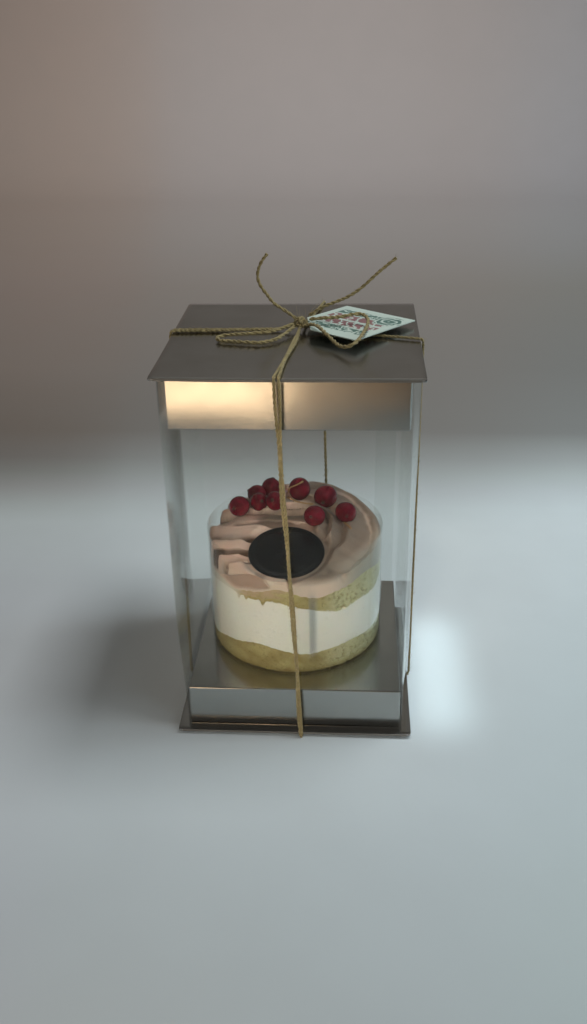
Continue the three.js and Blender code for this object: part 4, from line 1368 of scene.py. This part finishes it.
def wrapCollar():
    inner, wall = collar["inner"], collar["wall"]
    tall = collar["high"] - collar["low"]
    piece = startPiece(
        "collar_band", "cylinder", vertices=collar["facets"], radius=(inner + wall) * mm, depth=tall * mm,
        end_fill_type="NOTHING", location=(cake["at"][0] * mm, cake["at"][1] * mm, (collar["low"] + tall / 2) * mm),
    )
    editPiece(piece, "EDGE", lambda a, b: abs(a.z - b.z) > 1, ("subdivide", {"number_cuts": collar["rows"]}))

    def settle(points):
        x, y = points[:, 0] - cake["at"][0], points[:, 1] - cake["at"][1]
        angle, high = np.arctan2(y, x), (points[:, 2] - collar["low"]) / tall
        r = inner + wall - 0.02 + 0.02 * np.sin(3 * angle + 1) * high
        return np.column_stack([r * np.cos(angle) + cake["at"][0], r * np.sin(angle) + cake["at"][1], points[:, 2]])

    movePoints(piece, settle)
    modify(piece, "SOLIDIFY", thickness=wall * mm, offset=-1)
    _, _, angle, high = markPoints(piece)
    degrees = np.degrees(angle)
    # Painted shade of the twine: a darker upright stripe on the front of the collar, between the two listed angles
    start, end = collar["overlap"]
    across = ease(degrees, start - 0.5, start + 0.5) * (1 - ease(degrees, end - 3.5, end + 0.5))
    nameValues(piece, "overlap", 0.62 * across * ease(high, 6, 12) * (1 - ease(high, 31, 46)))
    film = filmPaint("collar_film", (0.975, 0.977, 0.97, 1), 0.006)
    finishPiece(piece, film, "clear_film", "acetate_collar", smoothAngle=50)


wrapCollar()
print("collar wrapped")

tag = {
    "at": (22.6, 11.1, lidTop + 2.6), "size": (35.6, 39.5), "turn": -37.9, "tilt": 1.9, "cut": 13, "thick": 0.4,
    "paper": (0.555, 0.645, 0.575, 1), "fleck": (0.48, 0.555, 0.50, 1),
    "green": (0.055, 0.135, 0.112, 1), "red": (0.23, 0.05, 0.065, 1),
}


def printTag():
    wide, long = tag["size"]
    piece = startPiece("gift_tag", "plane", size=1 * mm)
    movePoints(piece, lambda points: points * (wide, long, 1))
    cut = ("bevel", {"offset": tag["cut"] * mm, "affect": "VERTICES", "segments": 1})
    editPiece(piece, "VERT", lambda corner: corner.x < 0 and corner.y < 0, cut)
    modify(piece, "SOLIDIFY", thickness=tag["thick"] * mm, offset=1)
    turned = Matrix.Rotation(math.radians(tag["turn"]), 3, "Z") @ Matrix.Rotation(-math.radians(tag["tilt"]), 3, "X")
    points = pointsOf(piece)
    nameValues(piece, "printed", points)
    movePoints(piece, lambda points: points @ np.array(turned).T + np.array(tag["at"]))
    paint = Paint("tag_paper", Roughness=0.6)
    spot = paint.attribute("printed", "Vector")
    across, down = (paint.node("SeparateXYZ", {}, {"Vector": spot}, axis) for axis in "XY")
    past = [paint.maths("ABSOLUTE", across) - wide / 2, paint.maths("ABSOLUTE", down) - long / 2]
    inset = paint.maths("MAXIMUM", *past)
    inner = paint.eased(inset, -3.6, -3, 1, 0)
    wobble = paint.grain(spot, 0.3, 2)

    def row(at, half):
        return paint.eased(paint.maths("ABSOLUTE", down - at + wobble * 3 - 1.5), half - 0.5, half + 0.5, 1, 0)

    slanted = paint.maths("SINE", (across + down * 0.6) * 1.5 + wobble * 13)
    strokes = (row(5, 3.2) + row(-3.2, 3)) * paint.eased(slanted, -0.75, -0.3) * inner
    curled = paint.maths("SINE", across * 1.2 - down * 0.9 + wobble * 24)
    leaves = (row(11.8, 2.6) + row(-10.4, 3)) * paint.eased(curled, -0.6, -0.1) * inner
    away = paint.maths("SQRT", (across - 11.4) ** 2 + (down - 10.6) ** 2)
    swirl = paint.eased(paint.maths("SINE", away * 2.3 + wobble * 9), -0.6, -0.1) * paint.eased(away, 6, 6.8, 1, 0)
    beside = paint.eased(away, 6.2, 7)
    leaves, strokes = leaves * beside + swirl, strokes * beside
    fleck = paint.grain(paint.place(), 1.4, 3)
    base = paint.mixed(fleck * 0.2, tag["paper"], tag["fleck"])
    colour = paint.mixed(leaves * 0.92, base, tag["green"])
    colour = paint.mixed(strokes * 0.85, colour, tag["red"])
    paint.finish(Base_Color=colour, Normal=paint.bumped(fleck, 0.02))
    finishPiece(piece, paint.material, "tag_paper", "tag")


printTag()
print("tag printed")
